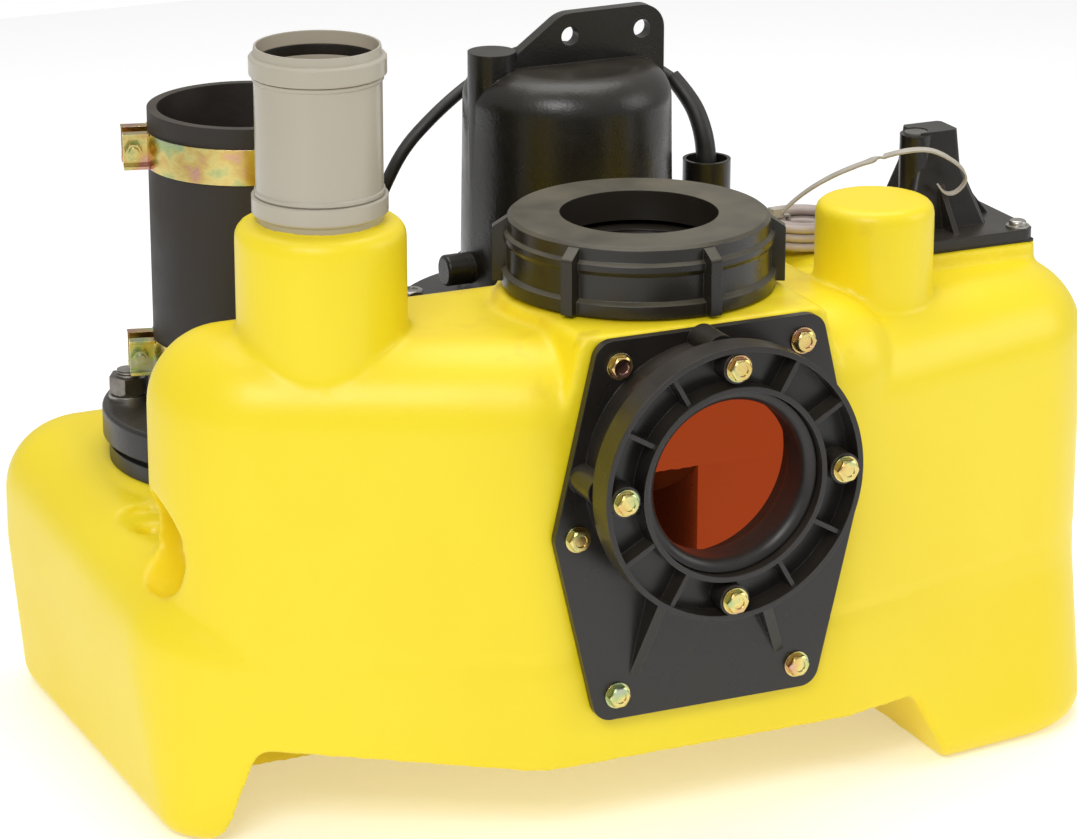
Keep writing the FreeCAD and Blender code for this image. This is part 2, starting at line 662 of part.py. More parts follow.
def tank():
    """One moulded hollow shell: its outer form less the same form moved in by the wall."""
    def form(inset):
        vent = rounded_post(VENT_BOSS_R - inset, DECK_Z, VENT_BOSS_Z - inset, BOSS_EDGE_R - inset / 2, VENT_X, VENT_Y)
        stub = rounded_post(STUB_R - inset, DECK_Z, STUB_Z - inset, STUB_EDGE_R - inset / 2, STUB_X, STUB_Y)
        seat = cylinder(SEAT_R - inset, PARTING_Z, SEAT_Z - inset, PUMP_X, PUMP_Y)
        outlet = cylinder(DISCHARGE_SEAT_R - inset, PARTING_Z, DISCHARGE_SEAT_Z - inset, HOSE_X, HOSE_Y)
        skirt = Part.makeCone(NECK_SKIRT_R + 2 - inset, NECK_SKIRT_R - 2 - inset, NECK_SKIRT_Z - TALL_TOP_Z + 6,
                              Vector(COVER_X, COVER_Y, TALL_TOP_Z - 6 - inset), Z_AXIS)
        parts = base_form(inset) + tall_forms(inset)
        parts += [pad_form(inset), vent, stub, seat, outlet, skirt, tower_platform(inset)]
        body = fused(parts)
        tools = [arch_tool(inset), grip_tool(inset), discharge_pocket(inset)]
        tools += [anchor_tool(inset, x, y) for x, y in anchor_places()]
        return body.cut(tools)

    outer = form(0.0)
    inner = form(WALL)
    boss_back = FRONT_FACE_Y + INSERT_LENGTH + 3
    bosses = [Part.makeCylinder(INSERT_BOSS_R, boss_back - FRONT_FACE_Y, Vector(x, FRONT_FACE_Y, z), Y_AXIS)
              for x, z in plate_screw_places()]
    bosses += [cylinder(INSERT_BOSS_R, SEAT_Z - M10_REACH - 6, SEAT_Z, x, y) for x, y in seat_screw_places()]
    bosses += [cylinder(M6_HEAD_R + 1, PLATFORM_Z - M6_REACH - 5, PLATFORM_Z, x, y) for x, y in tower_screw_places()]
    bosses += [cylinder(M16_R + 5, DISCHARGE_SEAT_Z - 26, DISCHARGE_SEAT_Z, x, y) for x, y in stud_places()]
    inner = inner.cut([boss.common(outer) for boss in bosses])
    neck = cylinder(NECK_R, TALL_TOP_Z - 10, NECK_TOP_Z, COVER_X, COVER_Y)
    spigot = cylinder(VENT_SPIGOT_R, VENT_BOSS_Z - 2, VENT_BOSS_Z + VENT_SPIGOT_H, VENT_X, VENT_Y)
    port = [(PLATE_X + i * TANK_PORT_HALF_W, PLATE_Z + k * TANK_PORT_HALF_H, TANK_PORT_HALF_W - 1)
            for i, k in ((-1, -1), (1, -1), (1, 1), (-1, 1))]
    holes = [
        front_prism(port, FRONT_FACE_Y - 5, FRONT_FACE_Y + WALL + 1),
        cylinder(NECK_BORE_R, TALL_TOP_Z - WALL - 12, NECK_TOP_Z + 1, COVER_X, COVER_Y),
        cylinder(VENT_SPIGOT_R - VENT_SPIGOT_WALL, VENT_BOSS_Z - 20, VENT_BOSS_Z + VENT_SPIGOT_H + 1, VENT_X, VENT_Y),
        cylinder(SEAT_HOLE_R, SEAT_Z - WALL - 1, SEAT_Z + 1, PUMP_X, PUMP_Y),
        cylinder(PIPE_R + 3, DISCHARGE_SEAT_Z - WALL - 1, DISCHARGE_SEAT_Z + 1, HOSE_X, HOSE_Y),
        cylinder(FLOAT_HOLE_R, PLATFORM_Z - WALL - 1, PLATFORM_Z + 1, ROD_X + 14, ROD_Y + 4)]
    holes += [Part.makeCylinder(INSERT_R, INSERT_LENGTH + 1, Vector(x, FRONT_FACE_Y - 1, z), Y_AXIS)
              for x, z in plate_screw_places()]
    holes += [cylinder(M10_R, SEAT_Z - M10_REACH, SEAT_Z + 1, x, y) for x, y in seat_screw_places()]
    holes += [cylinder(M6_R, PLATFORM_Z - M6_REACH, PLATFORM_Z + 1, x, y) for x, y in tower_screw_places()]
    holes += [cylinder(M16_R, DISCHARGE_SEAT_Z - 21, DISCHARGE_SEAT_Z + 1, x, y) for x, y in stud_places()]
    shell = outer.fuse([neck, spigot]).cut(inner)
    for hole in holes:
        shell = shell.cut(hole)
    return shell


def hex_screw(shank_r, across, head_h, reach, flange_r=0.0, flange_t=0.0):
    """A hexagon screw along +Z: its seat at 0, its head above, its shank below."""
    head = hexagon(across, flange_t, flange_t + head_h)
    chamfer = Part.makeCone(across / 2 + head_h * 1.2, across / 2 - 0.6, head_h, Vector(0, 0, flange_t), Z_AXIS)
    parts = [head.common(chamfer), cylinder(shank_r, -reach, 0.5)]
    if flange_r:
        parts.append(cylinder(flange_r, 0, flange_t))
    top = flange_t + head_h
    return fused(parts).cut(cylinder(across * 0.3, top - HEAD_DISH, top + 1))


def inlet_plate():
    front = FRONT_FACE_Y - PLATE_GASKET_T - PLATE_T
    inlet_x = PLATE_X + INLET_OFFSET_X
    plate = front_prism(plate_corners(), front, front + PLATE_T)
    socket = Part.makeCylinder(SOCKET_R, SOCKET_LENGTH, Vector(inlet_x, front - SOCKET_LENGTH, INLET_Z), Y_AXIS)
    parts = [plate, socket]
    for dx, dz in ring_points(RING_BOLT_R, 4):
        start = Vector(inlet_x + dx * 1.06, front - SOCKET_LENGTH, INLET_Z + dz * 1.06)
        parts.append(Part.makeCylinder(RING_BOSS_R, SOCKET_LENGTH, start, Y_AXIS))
    for side in (-1, 1):
        foot = Vector(PLATE_X + side * (PLATE_SCREW_X - 11), front + 1, PLATE_Z - PLATE_SCREW_Z + 8)
        head = Vector(inlet_x + side * PLATE_RIB_X, front + 1, INLET_Z - SOCKET_R + 9)
        along = (head - foot).normalize()
        across = along.cross(Y_AXIS) * (PLATE_RIB_T / 2)
        rise = Vector(0, -SOCKET_LENGTH + 4, 0)
        for_face = Part.makePolygon([foot, head, head + rise, foot])
        rib = Part.Face(for_face).extrude(across * 2)
        rib.translate(across * -1)
        parts.append(rib)
    body = fused(parts)
    cuts = [Part.makeCylinder(SOCKET_BORE_R, 60, Vector(inlet_x, front - SOCKET_LENGTH - 1, INLET_Z), Y_AXIS)]
    cuts += [Part.makeCylinder(M8_HOLE_R, PLATE_T + 2, Vector(x, front - 1, z), Y_AXIS) for x, z in plate_screw_places()]
    for dx, dz in ring_points(RING_BOLT_R, 4):
        start = Vector(inlet_x + dx, front - SOCKET_LENGTH - 1, INLET_Z + dz)
        cuts.append(Part.makeCylinder(M8_R, M8_REACH + 2, start, Y_AXIS))
    return body.cut(cuts)


def inlet_gasket():
    hole = [(PLATE_X + i * TANK_PORT_HALF_W, PLATE_Z + k * TANK_PORT_HALF_H, TANK_PORT_HALF_W - 1)
            for i, k in ((-1, -1), (1, -1), (1, 1), (-1, 1))]
    near = FRONT_FACE_Y - PLATE_GASKET_T
    sheet = front_prism(plate_corners(-2.0), near, FRONT_FACE_Y)
    cuts = [front_prism(hole, near - 1, FRONT_FACE_Y + 1)]
    cuts += [Part.makeCylinder(M8_HOLE_R, PLATE_GASKET_T + 2, Vector(x, near - 1, z), Y_AXIS)
             for x, z in plate_screw_places()]
    return sheet.cut(cuts)


def inlet_ring():
    """Clamp ring: an open channel with radial ribs and four screw bosses, made along +Z then turned to face front."""
    outer = tube(RING_R, RING_R - RING_WALL, 0, RING_DEPTH)
    inner = tube(RING_BORE_R + RING_WALL, RING_BORE_R, 0, RING_DEPTH)
    floor = tube(RING_R, RING_BORE_R, 0, RING_BASE_T)
    parts = [outer, inner, floor]
    keep = tube(RING_R - 0.5, RING_BORE_R + 0.5, 0, RING_DEPTH)
    for quarter in range(4):
        for turn in (30.0, 60.0):
            rib = box(RING_BORE_R, RING_R, -RING_RIB_T / 2, RING_RIB_T / 2, 0, RING_DEPTH - 2)
            rib.rotate(Vector(0, 0, 0), Z_AXIS, 90 * quarter + turn)
            parts.append(rib.common(keep))
    parts += [cylinder(RING_BOSS_R, 0, RING_DEPTH, dx, dy).common(keep) for dx, dy in ring_points(RING_BOLT_R, 4)]
    body = fused(parts)
    return body.cut([cylinder(M8_HOLE_R, -1, RING_DEPTH + 1, dx, dy) for dx, dy in ring_points(RING_BOLT_R, 4)])


def revolved(points, x=0.0, y=0.0):
    """A full turn about a vertical axis of a closed outline of (radius, height) points."""
    corners = [Vector(x + r, y, z) for r, z in points]
    face = Part.Face(Part.makePolygon(corners + corners[:1]))
    return face.revolve(Vector(x, y, 0), Z_AXIS, 360)


def lip_seal():
    """Rubber lip seal along +Z: a clamped flange and a lip that bulges inwards."""
    outside = RING_BORE_R - LIP_GAP
    low = -LIP_BORE_H / 2 - LIP_ROUND_R
    high = LIP_BORE_H / 2 + LIP_ROUND_R + LIP_FLANGE_T
    points = [(RING_R - 6, 0), (RING_R - 6, LIP_FLANGE_T), (outside, LIP_FLANGE_T), (outside, high), (LIP_R, high),
              (LIP_R, low), (outside, low), (outside, 0)]
    seal = revolved(points)
    seal = seal.makeFillet(LIP_ROUND_R, edges_where(seal, lambda e: e.Closed and abs(e.BoundBox.XMax - LIP_R) < 0.01))
    return seal.cut([cylinder(M8_HOLE_R, -1, LIP_FLANGE_T + 1, dx, dy) for dx, dy in ring_points(RING_BOLT_R, 4)])


def cover_ring():
    low = COVER_TOP_Z - COVER_HEIGHT
    skirt_bore = NECK_R + THREAD_GAP
    ledge = low + COVER_LEDGE_H
    band = COVER_TOP_Z - COVER_BAND_DROP
    band_top = band + COVER_BAND_H
    points = [(skirt_bore, low), (COVER_R + COVER_LEDGE, low), (COVER_R + COVER_LEDGE, ledge),
              (COVER_R - 1, ledge + 2), (COVER_R - 1, band - 3), (COVER_R + 1, band), (COVER_R + 1, band_top),
              (COVER_R - 1.5, band_top + 2), (COVER_R - 1.5, COVER_TOP_Z - 2), (COVER_R - 4, COVER_TOP_Z),
              (COVER_HOLE_R, COVER_TOP_Z), (COVER_HOLE_R, COVER_TOP_Z - COVER_COLLAR_H),
              (COVER_HOLE_R + COVER_COLLAR_T, COVER_TOP_Z - COVER_COLLAR_H),
              (COVER_HOLE_R + COVER_COLLAR_T, COVER_TOP_Z - COVER_TOP_T), (skirt_bore, COVER_TOP_Z - COVER_TOP_T)]
    body = revolved(points, COVER_X, COVER_Y)
    parts = [body]
    for index in range(COVER_RIBS):
        reach = COVER_R + COVER_RIB_OUT
        rib = front_prism([(COVER_R - 4, low, 0.5), (reach, low, 0.5), (reach, COVER_TOP_Z - 9, 2.0),
                           (COVER_R - 4, COVER_TOP_Z - 1, 0.5)], -COVER_RIB_T / 2, COVER_RIB_T / 2)
        rib.rotate(Vector(0, 0, 0), Z_AXIS, COVER_RIB_TURN + 360.0 / COVER_RIBS * index)
        rib.translate(Vector(COVER_X, COVER_Y, 0))
        parts.append(rib)
    return fused(parts)


def cover_disc():
    low = NECK_TOP_Z + COVER_SEAL_T
    disc = cylinder(NECK_R - 1.5, low, low + COVER_DISC_T, COVER_X, COVER_Y)
    plug = tube(NECK_BORE_R - 2, NECK_BORE_R - 6, low - 14, low + 0.5, COVER_X, COVER_Y)
    dish = cylinder(COVER_HOLE_R - 8, low + COVER_DISC_T - 2, low + COVER_DISC_T + 1, COVER_X, COVER_Y)
    return fused([disc, plug]).cut(dish)


def vent_coupling():
    """Double-socket coupling, its two sealing beads alike, seen upright."""
    low = VENT_BOSS_Z
    half = COUPLING_H / 2

    def profile(height):
        bead = COUPLING_RIM_H
        bead_top = bead + COUPLING_BEAD_H
        ledge = bead_top + COUPLING_LINE
        ledge_top = ledge + COUPLING_LEDGE_H
        groove = COUPLING_GROOVE_IN
        groove_top = groove + COUPLING_GROOVE_H
        return [(COUPLING_BORE_R, 0.0), (COUPLING_R - 0.6, 0.0), (COUPLING_R + 0.3, bead - 0.6),
                (COUPLING_BEAD_R - 1.0, bead), (COUPLING_BEAD_R, bead + 1.2), (COUPLING_BEAD_R, bead_top - 0.8),
                (COUPLING_BEAD_R - 0.8, bead_top), (COUPLING_R, bead_top), (COUPLING_R, ledge),
                (COUPLING_R + COUPLING_LEDGE_OUT, ledge), (COUPLING_R + COUPLING_LEDGE_OUT, ledge_top - 0.8),
                (COUPLING_R, ledge_top), (COUPLING_R, height), (COUPLING_STOP_R, height),
                (COUPLING_STOP_R, height - COUPLING_STOP_H / 2), (COUPLING_BORE_R, height - COUPLING_STOP_H / 2),
                (COUPLING_BORE_R, groove_top), (COUPLING_GROOVE_R, groove_top), (COUPLING_GROOVE_R, groove),
                (COUPLING_BORE_R, groove)]
    lower = revolved(profile(half))
    upper = lower.mirror(Vector(0, 0, half), Z_AXIS)
    body = fused([lower, upper])
    body.translate(Vector(VENT_X, VENT_Y, low))
    return body


def coupling_seal(low):
    """Lip seal ring in a coupling's groove."""
    points = [(COUPLING_GROOVE_R - 0.2, low + 0.3), (COUPLING_GROOVE_R - 0.2, low + COUPLING_GROOVE_H - 0.3),
              (COUPLING_BORE_R, low + COUPLING_GROOVE_H - 0.3),
              (COUPLING_BORE_R - VENT_SEAL_OUT, low + COUPLING_GROOVE_H / 2),
              (COUPLING_BORE_R, low + 0.3)]
    return revolved(points, VENT_X, VENT_Y)


def motor_housing():
    """Cast motor bell: tapered drum with a round shoulder, side boss, lifting lug, foot flange and foot ribs."""
    low = SEAT_Z + PUMP_GASKET_T + PUMP_FLANGE_T
    top = low + MOTOR_H
    bell = Part.makeCone(MOTOR_R + 2, MOTOR_R - 1, MOTOR_H, Vector(0, 0, low), Z_AXIS)
    bell = bell.makeFillet(MOTOR_SHOULDER_R, edges_at_height(bell, top))
    boss = cylinder(MOTOR_BOSS_R, low, top + MOTOR_BOSS_RISE, MOTOR_BOSS_X, 0)
    foot = cylinder(MOTOR_FOOT_R, low, low + MOTOR_FOOT_T)
    lug_top = top + LUG_RISE
    lug = front_prism([(LUG_LEFT - 6, top - 20, 1.0), (LUG_RIGHT, top - 40, 1.0), (LUG_RIGHT, lug_top, 17.0),
                       (LUG_LEFT + LUG_SLOPE, lug_top - 1, 22.0), (LUG_LEFT, lug_top - 26, 8.0)],
                      -LUG_T / 2, LUG_T / 2)
    plug_z = OIL_PLUG_Z
    plug_seat = Part.makeCylinder(OIL_PLUG_R, MOTOR_FOOT_R - 4, Vector(0, 0, plug_z), X_AXIS * -1)
    ribs = [box(MOTOR_R - 6, MOTOR_FOOT_R - 1, -3, 3, low, low + 30) for _ in range(4)]
    for index, rib in enumerate(ribs):
        rib.rotate(Vector(0, 0, 0), Z_AXIS, 45 + 90 * index)
    body = fused([bell, boss, foot, lug, plug_seat] + ribs)
    cavity = cylinder(MOTOR_R - MOTOR_WALL, low - 1, top - MOTOR_WALL - MOTOR_SHOULDER_R / 3)
    holes = [Part.makeCylinder(LUG_HOLE_R, LUG_T + 2, Vector(LUG_HOLE_X + i * LUG_HOLE_STEP, -LUG_T / 2 - 1,
                                                             lug_top - LUG_HOLE_DROP), Y_AXIS) for i in (0, 1)]
    plug_hole = Part.makeCylinder(OIL_PLUG_SHANK_R, MOTOR_FOOT_R, Vector(0, 0, plug_z), X_AXIS * -1)
    plug_room = Part.makeCylinder(OIL_PLUG_R + 0.6, 20, Vector(4 - MOTOR_FOOT_R, 0, plug_z), X_AXIS * -1)
    body = body.cut([cavity, plug_hole, plug_room] + holes)
    body.translate(Vector(PUMP_X, PUMP_Y, 0))
    return body


def pump_flange():
    """Cast flange and oil chamber in one: it closes the tank and carries the lower bearing and the volute."""
    low = SEAT_Z + PUMP_GASKET_T
    top = low + PUMP_FLANGE_T
    disc = cylinder(PUMP_FLANGE_R, low, top)
    disc = disc.makeFillet(3.0, edges_at_height(disc, top))
    chamber = tube(OIL_CHAMBER_R, OIL_CHAMBER_R - OIL_CHAMBER_WALL, VOLUTE_TOP_Z, low + 1)
    chamber_floor = cylinder(VOLUTE_R, VOLUTE_TOP_Z, VOLUTE_TOP_Z + 10)
    socket = cylinder(GLAND_R, top - 2, top + GLAND_SOCKET_H, GLAND_X - PUMP_X, GLAND_Y - PUMP_Y)
    body = fused([disc, chamber, chamber_floor, socket])
    bore = cylinder(SHAFT_R + RUNNING_GAP, VOLUTE_TOP_Z - 1, top + 1)
    chamber_space = cylinder(OIL_CHAMBER_R - OIL_CHAMBER_WALL, VOLUTE_TOP_Z + 10, low - 4)
    seal_seat = cylinder(SEAL_R + 0.1, VOLUTE_TOP_Z - 1, VOLUTE_TOP_Z + 8)
    bearing_seat = cylinder(BEARING_R, top - BEARING_SINK, top + 1)
    cable_way = cylinder(GLAND_R - GLAND_WALL, top + 8, top + GLAND_SOCKET_H + 1, GLAND_X - PUMP_X, GLAND_Y - PUMP_Y)
    body = body.cut([bore, chamber_space, seal_seat, bearing_seat, cable_way])
    body.translate(Vector(PUMP_X, PUMP_Y, 0))
    return body.cut([cylinder(M10_HOLE_R, low - 1, top + 1, x, y) for x, y in seat_screw_places()])


def volute_casing():
    """Pump casing: a round chamber open to a tangential outlet, its inlet underneath."""
    low = VOLUTE_TOP_Z - VOLUTE_H
    shell = cylinder(VOLUTE_R, low, VOLUTE_TOP_Z)
    reach = PUMP_X - VALVE_MIDDLE_X - VALVE_LENGTH / 2
    outlet = Part.makeCylinder(PIPE_R, reach, Vector(0, HOSE_Y - PUMP_Y, PIPE_Z), X_AXIS * -1)
    space = cylinder(VOLUTE_R - VOLUTE_WALL, low + VOLUTE_WALL, VOLUTE_TOP_Z)
    bore = Part.makeCylinder(PIPE_R - PIPE_WALL - 14, reach + 1, Vector(0, HOSE_Y - PUMP_Y, PIPE_Z), X_AXIS * -1)
    mouth = cylinder(SUCTION_R, low - 1, low + VOLUTE_WALL + 1)
    keep = cylinder(VOLUTE_R * 2, low, VOLUTE_TOP_Z)
    body = fused([shell, outlet.common(keep)]).cut([space, bore.common(keep), mouth])
    body.translate(Vector(PUMP_X, PUMP_Y, 0))
    return body


def impeller():
    """Open impeller: a back plate, a hub and curved vanes below it."""
    top = IMPELLER_Z + IMPELLER_H
    plate = cylinder(IMPELLER_R, top - IMPELLER_PLATE_T, top)
    hub = cylinder(SHAFT_R + 8, IMPELLER_Z + 4, top)
    parts = [plate, hub]
    sweep_r = IMPELLER_R * 0.62
    for index in range(IMPELLER_VANES):
        vane = tube(sweep_r + 2.5, sweep_r - 2.5, IMPELLER_Z, top - 1, sweep_r * 0.98, 0)
        vane = vane.common(box(-5, IMPELLER_R * 2, 0, IMPELLER_R * 2, 0, top))
        vane = vane.common(cylinder(IMPELLER_R - 1, IMPELLER_Z, top))
        vane.rotate(Vector(0, 0, 0), Z_AXIS, 360.0 / IMPELLER_VANES * index)
        parts.append(vane)
    body = fused(parts).cut([cylinder(SHAFT_R, IMPELLER_Z - 1, top + 1),
                             cylinder(IMPELLER_SCREW_R + 1, IMPELLER_Z - 1, IMPELLER_Z + 4)])
    body.translate(Vector(PUMP_X, PUMP_Y, 0))
    return body


def discharge_flange():
    """Loose flange with its hub and the pipe stub that the hose is pushed over."""
    low = DISCHARGE_SEAT_Z + COLLAR_T
    top = low + FLANGE_T
    disc = cylinder(FLANGE_R, low, top)
    disc = disc.makeFillet(3.0, edges_at_height(disc, top))
    hub = Part.makeCone(FLANGE_HUB_R + 1.5, FLANGE_HUB_R, FLANGE_HUB_H, Vector(0, 0, top), Z_AXIS)
    stub = cylinder(HOSE_R - HOSE_WALL + HOSE_SWELL - 0.2, low, top + FLANGE_HUB_H + HOSE_STUB_H)
    bore = cylinder(PIPE_R - PIPE_WALL, low - 1, top + FLANGE_HUB_H + HOSE_STUB_H + 1)
    body = fused([disc, hub, stub]).cut(bore)
    body.translate(Vector(HOSE_X, HOSE_Y, 0))
    return body.cut([cylinder(M16_HOLE_R, low - 1, top + 20, x, y) for x, y in stud_places()])


def discharge_collar():
    body = tube(COLLAR_R, PIPE_R + 3.5, DISCHARGE_SEAT_Z, DISCHARGE_SEAT_Z + COLLAR_T, HOSE_X, HOSE_Y)
    groove = tube(COLLAR_R + 5, COLLAR_R - 4, DISCHARGE_SEAT_Z + COLLAR_T - 6, DISCHARGE_SEAT_Z + COLLAR_T + 1, HOSE_X, HOSE_Y)
    return body.cut([groove] + [cylinder(M16_HOLE_R, DISCHARGE_SEAT_Z - 1, DISCHARGE_SEAT_Z + COLLAR_T + 1, x, y) for x, y in stud_places()])


def hose():
    """Hose piece, a little wider inside where it is pushed over the flange's stub."""
    hub_top = DISCHARGE_SEAT_Z + COLLAR_T + FLANGE_T + FLANGE_HUB_H
    body = tube(HOSE_R, HOSE_R - HOSE_WALL, hub_top + 0.5, HOSE_TOP_Z, HOSE_X, HOSE_Y)
    return body.cut(cylinder(HOSE_R - HOSE_WALL + HOSE_SWELL, hub_top, hub_top + HOSE_STUB_H + 3, HOSE_X, HOSE_Y))


def clamp_band(middle):
    """Band with two bracket ears, their edges folded out, its gap closed by the bolt between them."""
    band = tube(HOSE_R + BAND_T, HOSE_R, middle - BAND_W / 2, middle + BAND_W / 2)
    gap = box(HOSE_R - 5, HOSE_R + 10, -6.5, 6.5, middle - BAND_W, middle + BAND_W)
    half_w = BAND_W / 2
    ears = []
    for side in (-1, 1):
        fold_near, fold_far = sorted((side * 8.0, side * (8.0 + CLAMP_FOLD)))
        ears.append(box(HOSE_R + 0.3, HOSE_R + CLAMP_EAR_OUT, side * 8 - 1.5, side * 8 + 1.5, middle - half_w,
                        middle + half_w))
        ears += [box(HOSE_R + 0.3, HOSE_R + CLAMP_EAR_OUT, fold_near, fold_far, low, low + CLAMP_EAR_T)
                 for low in (middle - half_w, middle + half_w - CLAMP_EAR_T)]
    body = fused([band.cut(gap)] + ears)
    bolt_at = Vector(HOSE_R + CLAMP_EAR_OUT * 0.6, -20, middle)
    body = body.cut(Part.makeCylinder(CLAMP_BOLT_R, 40, bolt_at, Y_AXIS))
    body.rotate(Vector(0, 0, 0), Z_AXIS, BAND_TURN)
    body.translate(Vector(HOSE_X, HOSE_Y, 0))
    return body


def clamp_bolt(middle):
    shank = Part.makeCylinder(CLAMP_BOLT_R - 0.1, 34, Vector(HOSE_R + CLAMP_EAR_OUT * 0.6, -16, middle), Y_AXIS)
    head = placed(hexagon(10.0, 0, 5.0), (HOSE_R + CLAMP_EAR_OUT * 0.6, -9.6, middle), Y_AXIS * -1)
    nut = placed(hexagon(10.0, 0, 6.0), (HOSE_R + CLAMP_EAR_OUT * 0.6, 9.6, middle), Y_AXIS)
    body = fused([shank, head, nut])
    body.rotate(Vector(0, 0, 0), Z_AXIS, BAND_TURN)
    body.translate(Vector(HOSE_X, HOSE_Y, 0))
    return body


def elbow():
    """Discharge pipe inside the tank: from the check valve along -X, then up through the deck."""
    valve_end = VALVE_MIDDLE_X - VALVE_LENGTH / 2
    bend_x = HOSE_X + ELBOW_BEND_R
    bend_z = PIPE_Z + ELBOW_BEND_R
    mid = math.sqrt(0.5) * ELBOW_BEND_R
    path = Part.Wire([
        Part.LineSegment(Vector(valve_end, HOSE_Y, PIPE_Z), Vector(bend_x, HOSE_Y, PIPE_Z)).toShape()
        if valve_end - bend_x > 0.5 else
        Part.LineSegment(Vector(bend_x + 1.0, HOSE_Y, PIPE_Z), Vector(bend_x, HOSE_Y, PIPE_Z)).toShape(),
        Part.Arc(Vector(bend_x, HOSE_Y, PIPE_Z), Vector(bend_x - mid, HOSE_Y, bend_z - mid),
                 Vector(HOSE_X, HOSE_Y, bend_z)).toShape(),
        Part.LineSegment(Vector(HOSE_X, HOSE_Y, bend_z), Vector(HOSE_X, HOSE_Y, DISCHARGE_SEAT_Z + COLLAR_T)).toShape()])
    return swept(path, PIPE_R).cut(swept(path, PIPE_R - PIPE_WALL))


def swept(path, radius):
    """A solid of round section along a wire of straight and arc edges."""
    start = path.Edges[0]
    at = start.valueAt(start.FirstParameter)
    along = start.tangentAt(start.FirstParameter)
    circle = Part.Wire([Part.Circle(at, along, radius).toShape()])
    shell = Part.BRepOffsetAPI.MakePipeShell(path)
    shell.add(circle)
    shell.build()
    shell.makeSolid()
    return shell.shape()


def valve_housing():
    left = VALVE_MIDDLE_X - VALVE_LENGTH / 2
    body = Part.makeCylinder(VALVE_R, VALVE_LENGTH, Vector(left, HOSE_Y, PIPE_Z), X_AXIS)
    space = Part.makeCylinder(VALVE_R - VALVE_WALL, VALVE_LENGTH - 2 * VALVE_END_T,
                              Vector(left + VALVE_END_T, HOSE_Y, PIPE_Z), X_AXIS)
    bore = Part.makeCylinder(PIPE_R - PIPE_WALL - 8, VALVE_LENGTH + 2, Vector(left - 1, HOSE_Y, PIPE_Z), X_AXIS)
    return body.cut([space, bore, flap_pin()])


def flap_pin_at():
    right = VALVE_MIDDLE_X + VALVE_LENGTH / 2 - VALVE_END_T
    return right - FLAP_EYE_R - 0.5, PIPE_Z + FLAP_PIN_UP


def flap_pin():
    """Hinge pin, its two ends held in the wall of the valve housing."""
    pin_x, pin_z = flap_pin_at()
    reach = math.sqrt((VALVE_R - VALVE_WALL / 2) ** 2 - FLAP_PIN_UP ** 2)
    return Part.makeCylinder(FLAP_PIN_R, 2 * reach, Vector(pin_x, HOSE_Y - reach, pin_z), Y_AXIS)


def check_flap():
    """Hinged flap of the check valve, with one eye on the pin."""
    pin_x, pin_z = flap_pin_at()
    seat_x = pin_x + FLAP_EYE_R + 0.2
    disc = Part.makeCylinder(FLAP_R, FLAP_T, Vector(seat_x - FLAP_T, HOSE_Y, PIPE_Z), X_AXIS)
    arm = box(seat_x - FLAP_T, seat_x, HOSE_Y - 9, HOSE_Y + 9, PIPE_Z + 20, pin_z - 1)
    eye = Part.makeCylinder(FLAP_EYE_R, 18, Vector(pin_x, HOSE_Y - 9, pin_z), Y_AXIS)
    body = fused([disc, arm, eye])
    return body.cut(Part.makeCylinder(FLAP_PIN_R + JOURNAL_GAP, 40, Vector(pin_x, HOSE_Y - 20, pin_z), Y_AXIS))


